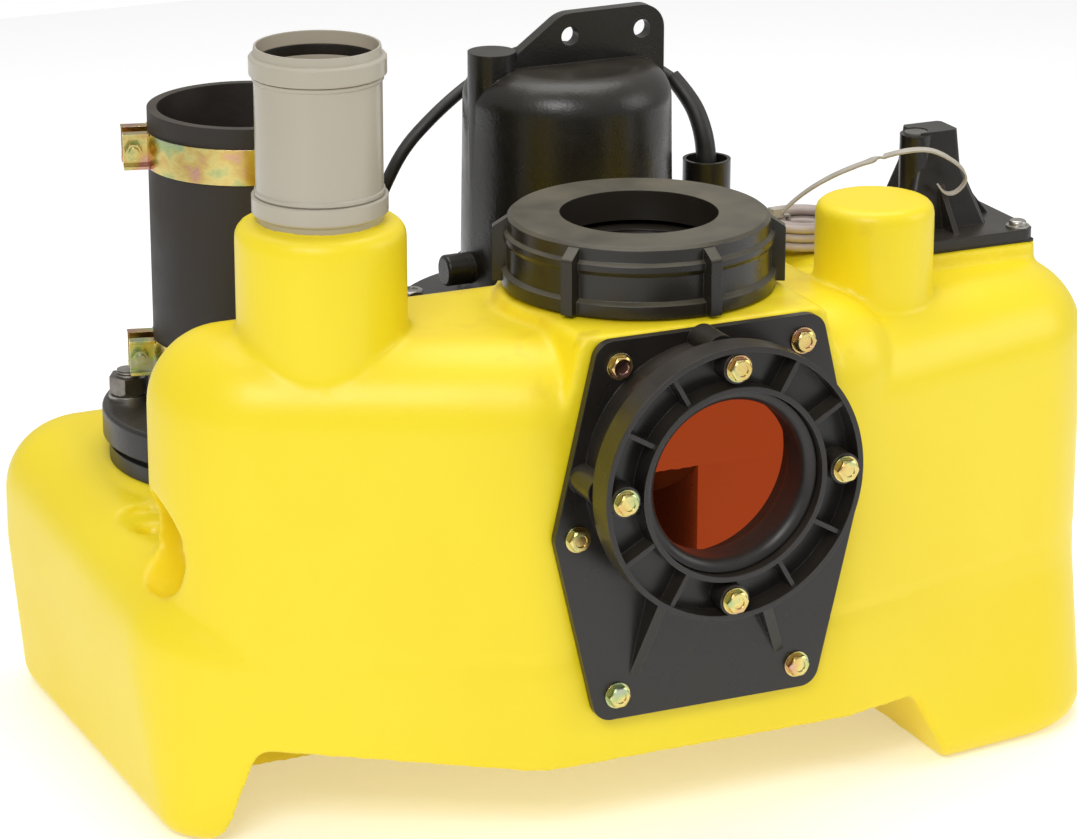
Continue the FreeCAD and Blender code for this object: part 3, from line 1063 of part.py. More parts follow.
def sensor_tower():
    """Hollow gusseted housing over the float rod, on a square base plate."""
    low = PLATFORM_Z + TOWER_GASKET_T
    half_w, half_d = TOWER_BASE_W / 2, TOWER_BASE_D / 2
    plate = prism([(TOWER_X - half_w, TOWER_Y - half_d, 8.0), (TOWER_X + half_w, TOWER_Y - half_d, 8.0),
                   (TOWER_X + half_w, TOWER_Y + half_d, 8.0), (TOWER_X - half_w, TOWER_Y + half_d, 8.0)],
                  low, low + TOWER_BASE_T)
    head_x = TOWER_X + TOWER_HEAD_DX

    def section(half_x, half_y, height, x):
        return outline_wire([(x - half_x, TOWER_Y - half_y, 4.0), (x + half_x, TOWER_Y - half_y, 4.0),
                             (x + half_x, TOWER_Y + half_y, 4.0), (x - half_x, TOWER_Y + half_y, 4.0)], height)

    def shell(inset, drop):
        return Part.makeLoft([section(34 - inset, 26 - inset, low, TOWER_X - 6),
                              section(TOWER_HEAD_W / 2 + 2 - inset, TOWER_HEAD_D / 2 + 2 - inset, TOWER_TOP_Z - 24, head_x),
                              section(TOWER_HEAD_W / 2 - inset, TOWER_HEAD_D / 2 - inset, TOWER_TOP_Z - drop, head_x)],
                             True, True)
    housing = shell(0.0, 0.0)
    column = cylinder(COLUMN_R, low, TOWER_TOP_Z - 2, ROD_X, ROD_Y)
    gusset = front_prism([(head_x, low, 1.0), (TOWER_X + half_w - 4, low, 1.0),
                          (head_x + TOWER_HEAD_W / 2, TOWER_TOP_Z - 26, 1.0), (head_x, TOWER_TOP_Z - 26, 1.0)],
                         TOWER_Y - TOWER_RIB_T / 2, TOWER_Y + TOWER_RIB_T / 2)
    back_gusset = front_prism([(-2, low, 1.0), (half_d - 4, low, 1.0), (TOWER_HEAD_D / 2, TOWER_TOP_Z - 30, 1.0),
                               (-2, TOWER_TOP_Z - 30, 1.0)], -TOWER_RIB_T / 2, TOWER_RIB_T / 2)
    gussets = [gusset]
    for turn in (90, 270):
        rib = back_gusset.copy()
        rib.rotate(Vector(0, 0, 0), Z_AXIS, turn)
        rib.translate(Vector(head_x, TOWER_Y, 0))
        gussets.append(rib)
    body = fused([plate, housing, column] + gussets)
    space = shell(TOWER_WALL, TOWER_WALL)
    space.translate(Vector(0, 0, -0.01))
    body = body.cut(space)
    column_wall = cylinder(COLUMN_R, low, TOWER_TOP_Z - 2, ROD_X, ROD_Y)
    body = fused([body, column_wall]).cut(cylinder(COLUMN_BORE_R, low - 1, TOWER_TOP_Z - 6, ROD_X, ROD_Y))
    holes = [cylinder(COLUMN_PLUG_R, TOWER_TOP_Z - 4.5, TOWER_TOP_Z + 1, ROD_X, ROD_Y)]
    holes += [cylinder(M6_R + 0.4, low - 1, low + TOWER_BASE_T + 1, x, y) for x, y in tower_screw_places()]
    return body.cut(holes)


def float_guide():
    top = PLATFORM_Z + TOWER_GASKET_T
    return tube(GUIDE_R, ROD_R + JOURNAL_GAP, top - GUIDE_H, top, ROD_X, ROD_Y)


def pan_screw():
    head = cylinder(M6_HEAD_R, M6_WASHER_T, M6_WASHER_T + M6_HEAD_H)
    head = head.makeFillet(2.2, edges_at_height(head, M6_WASHER_T + M6_HEAD_H))
    return fused([head, cylinder(M6_WASHER_R, 0, M6_WASHER_T), cylinder(M6_R - 0.05, -M6_REACH - 6, 0.5)])


def route_wire(points):
    """Straight runs joined by tangent arcs as large as the runs allow; returns the wire and the arcs' radii."""
    corners = [Vector(*p) for p in points]
    edges = []
    radii = []
    at = corners[0]
    for before, corner, after in zip(corners, corners[1:], corners[2:]):
        back = (before - corner).normalize()
        ahead = (after - corner).normalize()
        half_turn = (math.pi - back.getAngle(ahead)) / 2
        reach = 0.45 * min((before - corner).Length, (after - corner).Length)
        radius = reach / math.tan(half_turn)
        start = corner + back * reach
        end = corner + ahead * reach
        inward = (back + ahead).normalize()
        middle = corner + inward * (radius / math.cos(half_turn) - radius)
        edges.append(Part.LineSegment(at, start).toShape())
        edges.append(Part.Arc(start, middle, end).toShape())
        radii.append(radius)
        at = end
    edges.append(Part.LineSegment(at, corners[-1]).toShape())
    return Part.Wire(edges), radii


def cord(name, points, radius):
    path, radii = route_wire(points)
    solid = swept(path, radius)
    expected = math.pi * radius * radius * path.Length
    print(name, 'length', round(path.Length), 'smallest radius', round(min(radii), 1),
          'volume ratio', round(solid.Volume / expected, 4))
    print(name, 'radii', [round(r) for r in radii])
    return solid


def coil(x, y, low, mean_r, width, height):
    edge = min(width, height) * 0.36
    half = width / 2
    solid = tube(mean_r + half, mean_r - half, low, low + height, x, y)
    return solid.makeFillet(edge, edges_where(solid, lambda e: e.Closed or abs(e.Length) > 2 * mean_r))


def tie():
    """Nylon cable tie: a band round one side of the coil, its head, and its long tail curling up."""
    band_x = SENSOR_COIL[0] - SENSOR_COIL_MEAN_R
    half_w = SENSOR_COIL_W / 2 + 0.3
    low = SENSOR_COIL_Z
    top = low + SENSOR_COIL_H + 0.3
    outer = box(band_x - half_w - TIE_T, band_x + half_w + TIE_T, SENSOR_COIL[1] - TIE_W / 2, SENSOR_COIL[1] + TIE_W / 2,
                low - 0.3 - TIE_T, top + TIE_T)
    inner = box(band_x - half_w, band_x + half_w, SENSOR_COIL[1] - TIE_W, SENSOR_COIL[1] + TIE_W, low - 0.3, top)
    head = box(band_x - 4, band_x + 4, SENSOR_COIL[1] - 4, SENSOR_COIL[1] + 4, top + 0.2, top + 6.5)
    tail = Part.BSplineCurve()
    tail.interpolate([Vector(band_x + 3, SENSOR_COIL[1] - 2, top + 3)] + [Vector(*p) for p in TIE_TAIL])
    path = Part.Wire([tail.toShape()])
    start = tail.value(tail.FirstParameter)
    along = Vector(*tail.tangent(tail.FirstParameter)[0])
    side = along.cross(Vector(0.35, 1, 0).normalize()).normalize()
    across = along.cross(side).normalize()
    corners = [start + across * (i * TIE_W / 2) + side * (k * TIE_T / 2)
               for i, k in ((-1, -1), (1, -1), (1, 1), (-1, 1), (-1, -1))]
    shell = Part.BRepOffsetAPI.MakePipeShell(path)
    shell.setFrenetMode(False)
    shell.add(Part.makePolygon(corners))
    shell.build()
    shell.makeSolid()
    return fused([outer.cut(inner), head, shell.shape()])


def build_inlet():
    front = FRONT_FACE_Y - PLATE_GASKET_T - PLATE_T
    inlet_x = PLATE_X + INLET_OFFSET_X
    socket_face = front - SOCKET_LENGTH
    node("inlet_plate", inlet_plate())
    node("inlet_plate_gasket", inlet_gasket())
    screw = hex_screw(M8_R - 0.1, M8_HEX, M8_HEAD_H, M8_REACH + PLATE_T, M8_FLANGE_R, M8_FLANGE_T)
    toward = Vector(0, -1, 0)
    node("inlet_plate_screws", group(placed(screw, (x, front, z), toward) for x, z in plate_screw_places()))
    insert = tube(INSERT_R - 0.02, M8_R, 0, INSERT_LENGTH)
    node("inlet_plate_inserts", group(placed(insert, (x, FRONT_FACE_Y, z), Y_AXIS) for x, z in plate_screw_places()))
    seal_back = socket_face
    ring_back = seal_back - LIP_FLANGE_T
    node("inlet_lip_seal", placed(lip_seal(), (inlet_x, seal_back, INLET_Z), toward))
    node("inlet_clamp_ring", placed(inlet_ring(), (inlet_x, ring_back, INLET_Z), toward))
    bolt = hex_screw(M8_R - 0.1, M8_HEX, M8_HEAD_H, RING_DEPTH + LIP_FLANGE_T + M8_REACH - 2, M8_FLANGE_R, M8_FLANGE_T)
    node("inlet_clamp_screws", group(placed(bolt, (inlet_x + dx, ring_back - RING_DEPTH, INLET_Z + dz), toward)
                                     for dx, dz in ring_points(RING_BOLT_R, 4)))


def build_cover():
    node("cover_ring", cover_ring())
    node("cover_disc", cover_disc())
    node("cover_seal", tube(NECK_R - 1.5, NECK_BORE_R + 0.5, NECK_TOP_Z, NECK_TOP_Z + COVER_SEAL_T, COVER_X, COVER_Y))


def build_vent():
    node("vent_coupling", vent_coupling())
    node("vent_seal_lower", coupling_seal(VENT_BOSS_Z + COUPLING_GROOVE_IN))
    node("vent_seal_upper", coupling_seal(VENT_BOSS_Z + COUPLING_H - COUPLING_GROOVE_IN - COUPLING_GROOVE_H))


def build_pump():
    flange_low = SEAT_Z + PUMP_GASKET_T
    flange_top = flange_low + PUMP_FLANGE_T
    gasket = tube(SEAT_R - 1, SEAT_HOLE_R, SEAT_Z, flange_low, PUMP_X, PUMP_Y)
    node("pump_flange_gasket", gasket.cut([cylinder(M10_HOLE_R, SEAT_Z - 1, flange_low + 1, x, y)
                                           for x, y in seat_screw_places()]))
    node("pump_flange", pump_flange())
    m10 = hex_screw(M10_R - 0.1, M10_HEX, M10_HEAD_H, M10_REACH + PUMP_FLANGE_T, 10.0, 1.6)
    node("pump_flange_screws", group(placed(m10, (x, y, flange_top)) for x, y in seat_screw_places()))
    node("motor_housing", motor_housing())
    cap = cylinder(OIL_PLUG_R, 0, OIL_PLUG_OUT)
    cap = cap.makeFillet(OIL_PLUG_EDGE_R, edges_at_height(cap, OIL_PLUG_OUT))
    plug = fused([cap, cylinder(OIL_PLUG_SHANK_R - 0.05, -12.0, 0.5)])
    node("oil_plug", placed(plug, (PUMP_X - MOTOR_FOOT_R + 4, PUMP_Y, OIL_PLUG_Z), X_AXIS * -1))
    node("stator", tube(MOTOR_R - MOTOR_WALL - 0.02, STATOR_BORE_R, STATOR_Z, STATOR_Z + STATOR_H, PUMP_X, PUMP_Y))
    rotor_low = STATOR_Z + (STATOR_H - ROTOR_H) / 2
    node("rotor", tube(STATOR_BORE_R - ROTOR_GAP, SHAFT_R, rotor_low, rotor_low + ROTOR_H, PUMP_X, PUMP_Y))
    bearing_top = flange_top - BEARING_SINK + BEARING_T
    steps = [cylinder(SHAFT_R, IMPELLER_Z + 4, SHAFT_TOP_Z, PUMP_X, PUMP_Y),
             cylinder(SHAFT_R + 3, bearing_top + STOP_GAP, bearing_top + 12, PUMP_X, PUMP_Y)]
    node("shaft", fused(steps).cut(cylinder(3.0, IMPELLER_Z, IMPELLER_Z + 22, PUMP_X, PUMP_Y)))
    bearing = tube(BEARING_R, SHAFT_R + JOURNAL_GAP, 0, BEARING_T)
    bearing = bearing.cut([tube(BEARING_R - 5, SHAFT_R + 5, -1, 1.2), tube(BEARING_R - 5, SHAFT_R + 5, BEARING_T - 1.2,
                                                                          BEARING_T + 1)])
    holder = tube(BEARING_R + 6, BEARING_R + 0.02, 0, BEARING_T)
    node("lower_bearing", placed(bearing, (PUMP_X, PUMP_Y, flange_top - BEARING_SINK)))
    node("upper_bearing", placed(bearing, (PUMP_X, PUMP_Y, UPPER_BEARING_Z)))
    arms = [box(BEARING_R + 3, MOTOR_R, -4, 4, 0, BEARING_T).rotated(Vector(0, 0, 0), Z_AXIS, 120 * i)
            for i in range(3)]
    spider = fused([holder] + arms).common(cylinder(MOTOR_R - MOTOR_WALL - 0.02, 0, BEARING_T))
    node("upper_bearing_holder", placed(spider, (PUMP_X, PUMP_Y, UPPER_BEARING_Z)))
    node("shaft_seal", tube(SEAL_R, SHAFT_R + JOURNAL_GAP, VOLUTE_TOP_Z, VOLUTE_TOP_Z + 8, PUMP_X, PUMP_Y))
    node("impeller", impeller())
    node("impeller_screw", placed(hex_screw(2.9, 13.0, 5.0, 16.0, IMPELLER_SCREW_R, 2.5).mirror(Vector(0, 0, 0), Z_AXIS),
                                  (PUMP_X, PUMP_Y, IMPELLER_Z + 4)))
    node("volute_casing", volute_casing())
    cup_low = flange_top + GLAND_SOCKET_H
    gland = cylinder(GLAND_R + 1.5, cup_low, GLAND_TOP_Z, GLAND_X, GLAND_Y)
    cup = cylinder(GLAND_R - GLAND_WALL + 1.5, GLAND_TOP_Z - GLAND_CUP, GLAND_TOP_Z + 1, GLAND_X, GLAND_Y)
    node("cable_gland", gland.cut(cup))


def build_discharge():
    flange_top = DISCHARGE_SEAT_Z + COLLAR_T + FLANGE_T
    node("discharge_collar", discharge_collar())
    node("discharge_flange", discharge_flange())
    stud = cylinder(M16_R - 0.1, DISCHARGE_SEAT_Z - STUD_REACH, STUD_TOP_Z)
    node("flange_studs", group(placed(stud, (x, y, 0)) for x, y in stud_places()))
    nut = hexagon(M16_HEX, flange_top + M16_WASHER_T, flange_top + M16_WASHER_T + M16_NUT_H)
    nut = nut.common(Part.makeCone(M16_HEX / 2 - 0.4, M16_HEX / 2 + 10, M16_NUT_H + 0.1,
                                   Vector(0, 0, flange_top + M16_WASHER_T), Z_AXIS))
    nut = nut.cut(cylinder(M16_R, flange_top, flange_top + 30))
    washer = tube(M16_WASHER_R, M16_R + 0.3, flange_top, flange_top + M16_WASHER_T)
    node("flange_nuts", group(placed(nut, (x, y, 0)) for x, y in stud_places()))
    node("flange_washers", group(placed(washer, (x, y, 0)) for x, y in stud_places()))
    node("discharge_hose", hose())
    node("hose_clamp_upper", clamp_band(BAND_UPPER_Z))
    node("hose_clamp_upper_bolt", clamp_bolt(BAND_UPPER_Z))
    node("hose_clamp_lower", clamp_band(BAND_LOWER_Z))
    node("hose_clamp_lower_bolt", clamp_bolt(BAND_LOWER_Z))
    node("discharge_elbow", elbow())
    node("check_valve_housing", valve_housing())
    node("check_flap", check_flap())
    node("flap_pin", flap_pin())


def build_sensor():
    low = PLATFORM_Z + TOWER_GASKET_T
    half_w, half_d = TOWER_BASE_W / 2, TOWER_BASE_D / 2
    sheet = box(TOWER_X - half_w + 1, TOWER_X + half_w - 1, TOWER_Y - half_d + 1, TOWER_Y + half_d - 1, PLATFORM_Z, low)
    cuts = [cylinder(FLOAT_HOLE_R, PLATFORM_Z - 1, low + 1, ROD_X + 14, ROD_Y + 4)]
    cuts += [cylinder(M6_R + 0.4, PLATFORM_Z - 1, low + 1, x, y) for x, y in tower_screw_places()]
    node("sensor_tower_gasket", sheet.cut(cuts))
    node("sensor_tower", sensor_tower())
    node("sensor_tower_plug", cylinder(COLUMN_PLUG_R - 0.1, TOWER_TOP_Z - 4.4, TOWER_TOP_Z - 2 + COLUMN_PLUG_T / 2,
                                       ROD_X, ROD_Y))
    node("sensor_tower_screws", group(placed(pan_screw(), (x, y, low + TOWER_BASE_T)) for x, y in tower_screw_places()))
    node("float_guide", float_guide())
    magnet_low = low + STOP_GAP
    rod_top = magnet_low + MAGNET_H
    node("float_rod", cylinder(ROD_R, ROD_BOTTOM_Z, rod_top, ROD_X, ROD_Y))
    body = cylinder(FLOAT_R, ROD_BOTTOM_Z - 8, ROD_BOTTOM_Z - 8 + FLOAT_H, ROD_X + 14, ROD_Y + 4)
    body = body.makeFillet(12.0, [e for e in body.Edges if e.Closed and abs(e.Length - 2 * math.pi * FLOAT_R) < 1])
    node("float_body", body.cut(cylinder(ROD_R, ROD_BOTTOM_Z, rod_top, ROD_X, ROD_Y)))
    node("float_magnet", tube(MAGNET_R, ROD_R, magnet_low, rod_top, ROD_X, ROD_Y))


def build_cables():
    path = Part.Wire(route_wire(MOTOR_CABLE)[0].Edges[:BEND_SLEEVE_RUNS])
    node("cable_bend_sleeve", swept(path, BEND_SLEEVE_R).cut(swept(path, CABLE_R)))
    node("motor_cable", cord("motor_cable", MOTOR_CABLE, CABLE_R))
    node("motor_cable_coil", coil(MOTOR_COIL[0], MOTOR_COIL[1], 0.2, MOTOR_COIL_MEAN_R, MOTOR_COIL_SECTION,
                                  MOTOR_COIL_SECTION))
    plug_x = MOTOR_COIL[0] + MOTOR_COIL_MEAN_R + MOTOR_COIL_SECTION / 2 + STOP_GAP + PLUG_R
    plug = Part.makeCylinder(PLUG_R, PLUG_LENGTH, Vector(plug_x, MOTOR_COIL[1] - PLUG_LENGTH / 2, PLUG_R + 0.2), Y_AXIS)
    node("motor_plug", plug)
    node("sensor_cable", cord("sensor_cable", SENSOR_CABLE, SENSOR_CABLE_R))
    node("sensor_cable_coil", coil(SENSOR_COIL[0], SENSOR_COIL[1], SENSOR_COIL_Z, SENSOR_COIL_MEAN_R,
                                   SENSOR_COIL_W, SENSOR_COIL_H))
    node("cable_tie", tie())


def export():
    os.makedirs("parts", exist_ok=True)
    total = 0
    for name, shape in MODEL.items():
        solids = len(shape.Solids)
        if not shape.isValid() or solids == 0:
            print("check", name, "valid", shape.isValid(), "solids", solids)
        shape.exportStep("parts/" + name + ".step")
        total += solids
    print(len(MODEL), "nodes,", total, "solids")


node("tank", tank())
build_inlet()
build_cover()
build_vent()
build_pump()
build_discharge()
build_sensor()
build_cables()
export()
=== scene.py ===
import json
import math

import bpy
from mathutils import Euler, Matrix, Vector


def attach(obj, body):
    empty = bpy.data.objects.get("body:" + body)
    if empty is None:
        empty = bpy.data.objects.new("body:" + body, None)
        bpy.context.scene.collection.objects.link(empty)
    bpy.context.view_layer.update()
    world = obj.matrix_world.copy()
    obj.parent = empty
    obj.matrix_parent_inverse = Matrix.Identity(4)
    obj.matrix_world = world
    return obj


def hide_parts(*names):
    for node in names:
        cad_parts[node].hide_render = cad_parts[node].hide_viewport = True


# Looks of the lifting station: metres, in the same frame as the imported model.
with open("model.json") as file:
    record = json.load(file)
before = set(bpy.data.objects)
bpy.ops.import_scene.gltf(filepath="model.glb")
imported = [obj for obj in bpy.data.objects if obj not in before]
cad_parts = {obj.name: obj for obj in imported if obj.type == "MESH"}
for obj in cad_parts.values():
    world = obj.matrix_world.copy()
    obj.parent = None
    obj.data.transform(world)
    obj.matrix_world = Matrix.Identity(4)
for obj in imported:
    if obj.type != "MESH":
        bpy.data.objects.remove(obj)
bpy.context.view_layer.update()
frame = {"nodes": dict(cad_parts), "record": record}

MM = 0.001

# The photograph's camera, from its 1077 x 839 pixel frame
PHOTO_W = 1077
FOCAL_PIXELS = 4124.3
SENSOR_W = 36.0
CAMERA_AT = (-1.1275, -2.3833, 1.1002)
CAMERA_AZIMUTH = 24.55
CAMERA_ELEVATION = 18.59

# Free cables, points of their routes in millimetres
MOTOR_CABLE_R = 4.5
SLEEVE_R = 7.2
SLEEVE_ROUTE = [(150, 128, 338.4), (150, 128.6, 352), (148.5, 133, 370), (144.5, 143, 388), (136, 156.5, 402)]
SLEEVE_TAPER = (1.0, 1.0, 0.94, 0.88, 0.82)
MOTOR_ROUTE = [
    (150, 128, 338.4), (150, 129, 362), (146, 139, 386), (135, 158, 403), (113, 182, 414), (80, 206, 419),
    (44, 219, 417), (16, 212, 404), (-8, 204, 394), (-32, 200, 378), (-52, 200, 359), (-66, 202, 332),
    (-77, 209, 300), (-87, 220, 266), (-95, 237, 232), (-101, 258, 198), (-106, 278, 160), (-110, 292, 122),
    (-112, 302, 84), (-112, 309, 48), (-107, 322, 20), (-94, 336, 5.5), (-74, 342, 4.7)]
MOTOR_COIL_AT = (-40.0, 402.0)
MOTOR_COIL_START = -90
MOTOR_COIL_TURNS = [
    (58.4, 4.7), (49.0, 4.7), (39.6, 4.7), (39.6, 13.8), (49.0, 13.8), (58.4, 13.8), (44.3, 22.9),
    (53.7, 22.9)]
MOTOR_END = [
    (-20, 347, 22.9), (0, 347, 22.5), (20, 350, 21.5), (36, 357, 20.6), (42.8, 366, 20.2), (42.8, 374, 20.2)]
SENSOR_CABLE_R = 3.0
SENSOR_ROUTE = [(212.5, -12, 340), (203, -11, 340), (196, -6, 338), (191, 2, 334)]
SENSOR_COIL_AT = (167.0, 15.0)
SENSOR_COIL_START = 0
SENSOR_COIL_TURNS = [
    (21.0, 330.6), (27.2, 330.4), (27.4, 324.2), (21.2, 324.3), (15.0, 324.1), (15.2, 317.9), (21.4, 317.9),
    (27.6, 317.9)]
POINTS_PER_TURN = 16
# How far a turn of a coil strays from its circle
TURN_STRAYS = 0.25
# A curve's box reaches past it by the radius of its points, so those are small and the bevel makes up for it
KNOT_RADIUS = 0.01


def deselect():
    """Nothing selected and nothing active, so that the next step acts only on its own piece."""
    for other in bpy.context.selected_objects:
        other.select_set(False)
    bpy.context.view_layer.objects.active = None


def choose(piece):
    deselect()
    piece.select_set(True)
    bpy.context.view_layer.objects.active = piece


def smooth(piece, angle=32):
    choose(piece)
    bpy.ops.object.shade_smooth_by_angle(angle=math.radians(angle))


def apply_modifiers(piece):
    choose(piece)
    for modifier in list(piece.modifiers):
        bpy.ops.object.modifier_apply(modifier=modifier.name)


# Shader groups

def new_group(name, inputs, outputs):
    group = bpy.data.node_groups.new(name, "ShaderNodeTree")
    for label, kind, value in inputs:
        socket = group.interface.new_socket(name=label, in_out="INPUT", socket_type=kind)
        socket.default_value = value
    for label, kind in outputs:
        group.interface.new_socket(name=label, in_out="OUTPUT", socket_type=kind)
    return group, group.nodes.new("NodeGroupInput"), group.nodes.new("NodeGroupOutput")


def noise(tree, source, detail=3.0):
    node = tree.nodes.new("ShaderNodeTexNoise")
    node.inputs["Detail"].default_value = detail
    tree.links.new(source, node.inputs["Vector"])
    return node


def math_node(tree, operation, first, second=None, clamp=False):
    node = tree.nodes.new("ShaderNodeMath")
    node.operation = operation
    node.use_clamp = clamp
    for index, value in enumerate((first, second)):
        if value is None:
            continue
        if isinstance(value, (int, float)):
            node.inputs[index].default_value = value
        else:
            tree.links.new(value, node.inputs[index])
    return node.outputs[0]


def spread(tree, value, low, high, to_low=0.0, to_high=1.0):
    node = tree.nodes.new("ShaderNodeMapRange")
    tree.links.new(value, node.inputs["Value"])
    for label, number in (("From Min", low), ("From Max", high), ("To Min", to_low), ("To Max", to_high)):
        if isinstance(number, (int, float)):
            node.inputs[label].default_value = number
        else:
            tree.links.new(number, node.inputs[label])
    return node.outputs["Result"]


def mottle_group():
    """Two tones that drift into each other over the surface."""
    group, given, made = new_group("tone_drift", [
        ("First", "NodeSocketColor", (1, 1, 1, 1)), ("Second", "NodeSocketColor", (1, 1, 1, 1)),
        ("Scale", "NodeSocketFloat", 8.0)], [("Color", "NodeSocketColor"), ("Mask", "NodeSocketFloat")])
    place = group.nodes.new("ShaderNodeTexCoord")
    cloud = noise(group, place.outputs["Object"], 4.0)
    group.links.new(given.outputs["Scale"], cloud.inputs["Scale"])
    mask = spread(group, cloud.outputs["Fac"], 0.32, 0.68)
    mix = group.nodes.new("ShaderNodeMix")
    mix.data_type = "RGBA"
    group.links.new(mask, mix.inputs["Factor"])
    group.links.new(given.outputs["First"], mix.inputs["A"])
    group.links.new(given.outputs["Second"], mix.inputs["B"])
    group.links.new(mix.outputs["Result"], made.inputs["Color"])
    group.links.new(mask, made.inputs["Mask"])
    return group


def grain_group():
    """Moulded or cast grain: a fine and a coarse relief added to one height."""
    group, given, made = new_group("surface_grain", [
        ("Fine Scale", "NodeSocketFloat", 900.0), ("Fine Height", "NodeSocketFloat", 0.3),
        ("Coarse Scale", "NodeSocketFloat", 120.0), ("Coarse Height", "NodeSocketFloat", 1.0)],
        [("Height", "NodeSocketFloat")])
    place = group.nodes.new("ShaderNodeTexCoord")
    fine = noise(group, place.outputs["Object"], 2.0)
    coarse = noise(group, place.outputs["Object"], 3.0)
    group.links.new(given.outputs["Fine Scale"], fine.inputs["Scale"])
    group.links.new(given.outputs["Coarse Scale"], coarse.inputs["Scale"])
    small = math_node(group, "MULTIPLY", fine.outputs["Fac"], given.outputs["Fine Height"])
    large = math_node(group, "MULTIPLY", coarse.outputs["Fac"], given.outputs["Coarse Height"])
    group.links.new(math_node(group, "ADD", small, large), made.inputs["Height"])
    return group


def dust_and_sheen_group():
    """Where dust settles and where a painted sheen of the top light lies: faces that look up, broken by a
    cloud.
    """
    group, given, made = new_group("dust_and_top_sheen", [
        ("Amount", "NodeSocketFloat", 0.3), ("Scale", "NodeSocketFloat", 30.0)],
        [("Mask", "NodeSocketFloat")])
    place = group.nodes.new("ShaderNodeTexCoord")
    shape = group.nodes.new("ShaderNodeNewGeometry")
    apart = group.nodes.new("ShaderNodeSeparateXYZ")
    group.links.new(shape.outputs["Normal"], apart.inputs["Vector"])
    up = spread(group, apart.outputs["Z"], 0.15, 0.95)
    cloud = noise(group, place.outputs["Object"], 5.0)
    group.links.new(given.outputs["Scale"], cloud.inputs["Scale"])
    patchy = spread(group, cloud.outputs["Fac"], 0.25, 0.7, 0.35, 1.0)
    mask = math_node(group, "MULTIPLY", math_node(group, "MULTIPLY", up, patchy), given.outputs["Amount"])
    group.links.new(mask, made.inputs["Mask"])
    return group


def edge_group():
    """Rounded edges for the light, and a mask of the edges where handling has rubbed them."""
    group, given, made = new_group("worn_edges", [
        ("Breadth", "NodeSocketFloat", 0.0012), ("Amount", "NodeSocketFloat", 0.5)],
        [("Mask", "NodeSocketFloat"), ("Normal", "NodeSocketVector")])
    rounding = group.nodes.new("ShaderNodeBevel")
    rounding.samples = 4
    group.links.new(given.outputs["Breadth"], rounding.inputs["Radius"])
    shape = group.nodes.new("ShaderNodeNewGeometry")
    place = group.nodes.new("ShaderNodeTexCoord")
    turn = group.nodes.new("ShaderNodeVectorMath")
    turn.operation = "DOT_PRODUCT"
    group.links.new(rounding.outputs["Normal"], turn.inputs[0])
    group.links.new(shape.outputs["Normal"], turn.inputs[1])
    edge = spread(group, turn.outputs["Value"], 0.995, 0.86)
    cloud = noise(group, place.outputs["Object"], 6.0)
    cloud.inputs["Scale"].default_value = 90.0
    broken = spread(group, cloud.outputs["Fac"], 0.4, 0.62)
    mask = math_node(group, "MULTIPLY", math_node(group, "MULTIPLY", edge, broken), given.outputs["Amount"])
    group.links.new(mask, made.inputs["Mask"])
    group.links.new(rounding.outputs["Normal"], made.inputs["Normal"])
    return group


def patch_group():
    """A cloudy dark or light patch round one place."""
    group, given, made = new_group("tone_patch", [
        ("Centre", "NodeSocketVector", (0, 0, 0)), ("Reach", "NodeSocketFloat", 0.03),
        ("Amount", "NodeSocketFloat", 0.5)], [("Mask", "NodeSocketFloat")])
    place = group.nodes.new("ShaderNodeTexCoord")
    away = group.nodes.new("ShaderNodeVectorMath")
    away.operation = "DISTANCE"
    group.links.new(place.outputs["Object"], away.inputs[0])
    group.links.new(given.outputs["Centre"], away.inputs[1])
    cloud = noise(group, place.outputs["Object"], 5.0)
    cloud.inputs["Scale"].default_value = 45.0
    ragged = math_node(group, "MULTIPLY", away.outputs["Value"],
                       spread(group, cloud.outputs["Fac"], 0.3, 0.7, 0.6, 1.9))
    near = math_node(group, "DIVIDE", ragged, given.outputs["Reach"])
    mask = math_node(group, "MULTIPLY", spread(group, near, 1.0, 0.25), given.outputs["Amount"])
    group.links.new(mask, made.inputs["Mask"])
    return group


def thread_group():
    """Height of a screw thread wound up along Z."""
    group, given, made = new_group("screw_thread", [("Pitch", "NodeSocketFloat", 0.002)],
                                   [("Height", "NodeSocketFloat")])
    place = group.nodes.new("ShaderNodeTexCoord")
    apart = group.nodes.new("ShaderNodeSeparateXYZ")
    group.links.new(place.outputs["Object"], apart.inputs["Vector"])
    turns = math_node(group, "DIVIDE", apart.outputs["Z"], given.outputs["Pitch"])
    wave = math_node(group, "PINGPONG", turns, 0.5)
    group.links.new(math_node(group, "MULTIPLY", wave, 18.0), made.inputs["Height"])
    return group


MOTTLE = mottle_group()
GRAIN = grain_group()
DUST_AND_SHEEN = dust_and_sheen_group()
EDGES = edge_group()
PATCH_GROUP = patch_group()
THREAD = thread_group()


def placed_group(tree, group, **values):
    node = tree.nodes.new("ShaderNodeGroup")
    node.node_tree = group
    for label, value in values.items():
        node.inputs[label.replace("_", " ")].default_value = value
    return node


def mixed(tree, factor, first, second):
    node = tree.nodes.new("ShaderNodeMix")
    node.data_type = "RGBA"
    tree.links.new(factor, node.inputs["Factor"])
    for label, value in (("A", first), ("B", second)):
        if isinstance(value, tuple):
            node.inputs[label].default_value = value
        else:
            tree.links.new(value, node.inputs[label])
    return node.outputs["Result"]


def tinted(tree, value, tints):
    """Interference tints of a passivated zinc surface, one after another over the mask."""
    ramp = tree.nodes.new("ShaderNodeValToRGB")
    stops = ramp.color_ramp.elements
    while len(stops) < len(tints):
        stops.new(0.5)
    for index, tint in enumerate(tints):
        stops[index].position = index / (len(tints) - 1)
        stops[index].color = rgba(tint)
    tree.links.new(value, ramp.inputs["Fac"])
    return ramp.outputs["Color"]


def rgba(colour):
    return (colour[0], colour[1], colour[2], 1.0)


# What a full cover of dust adds to a surface's roughness
DUST_DULLS = 0.3


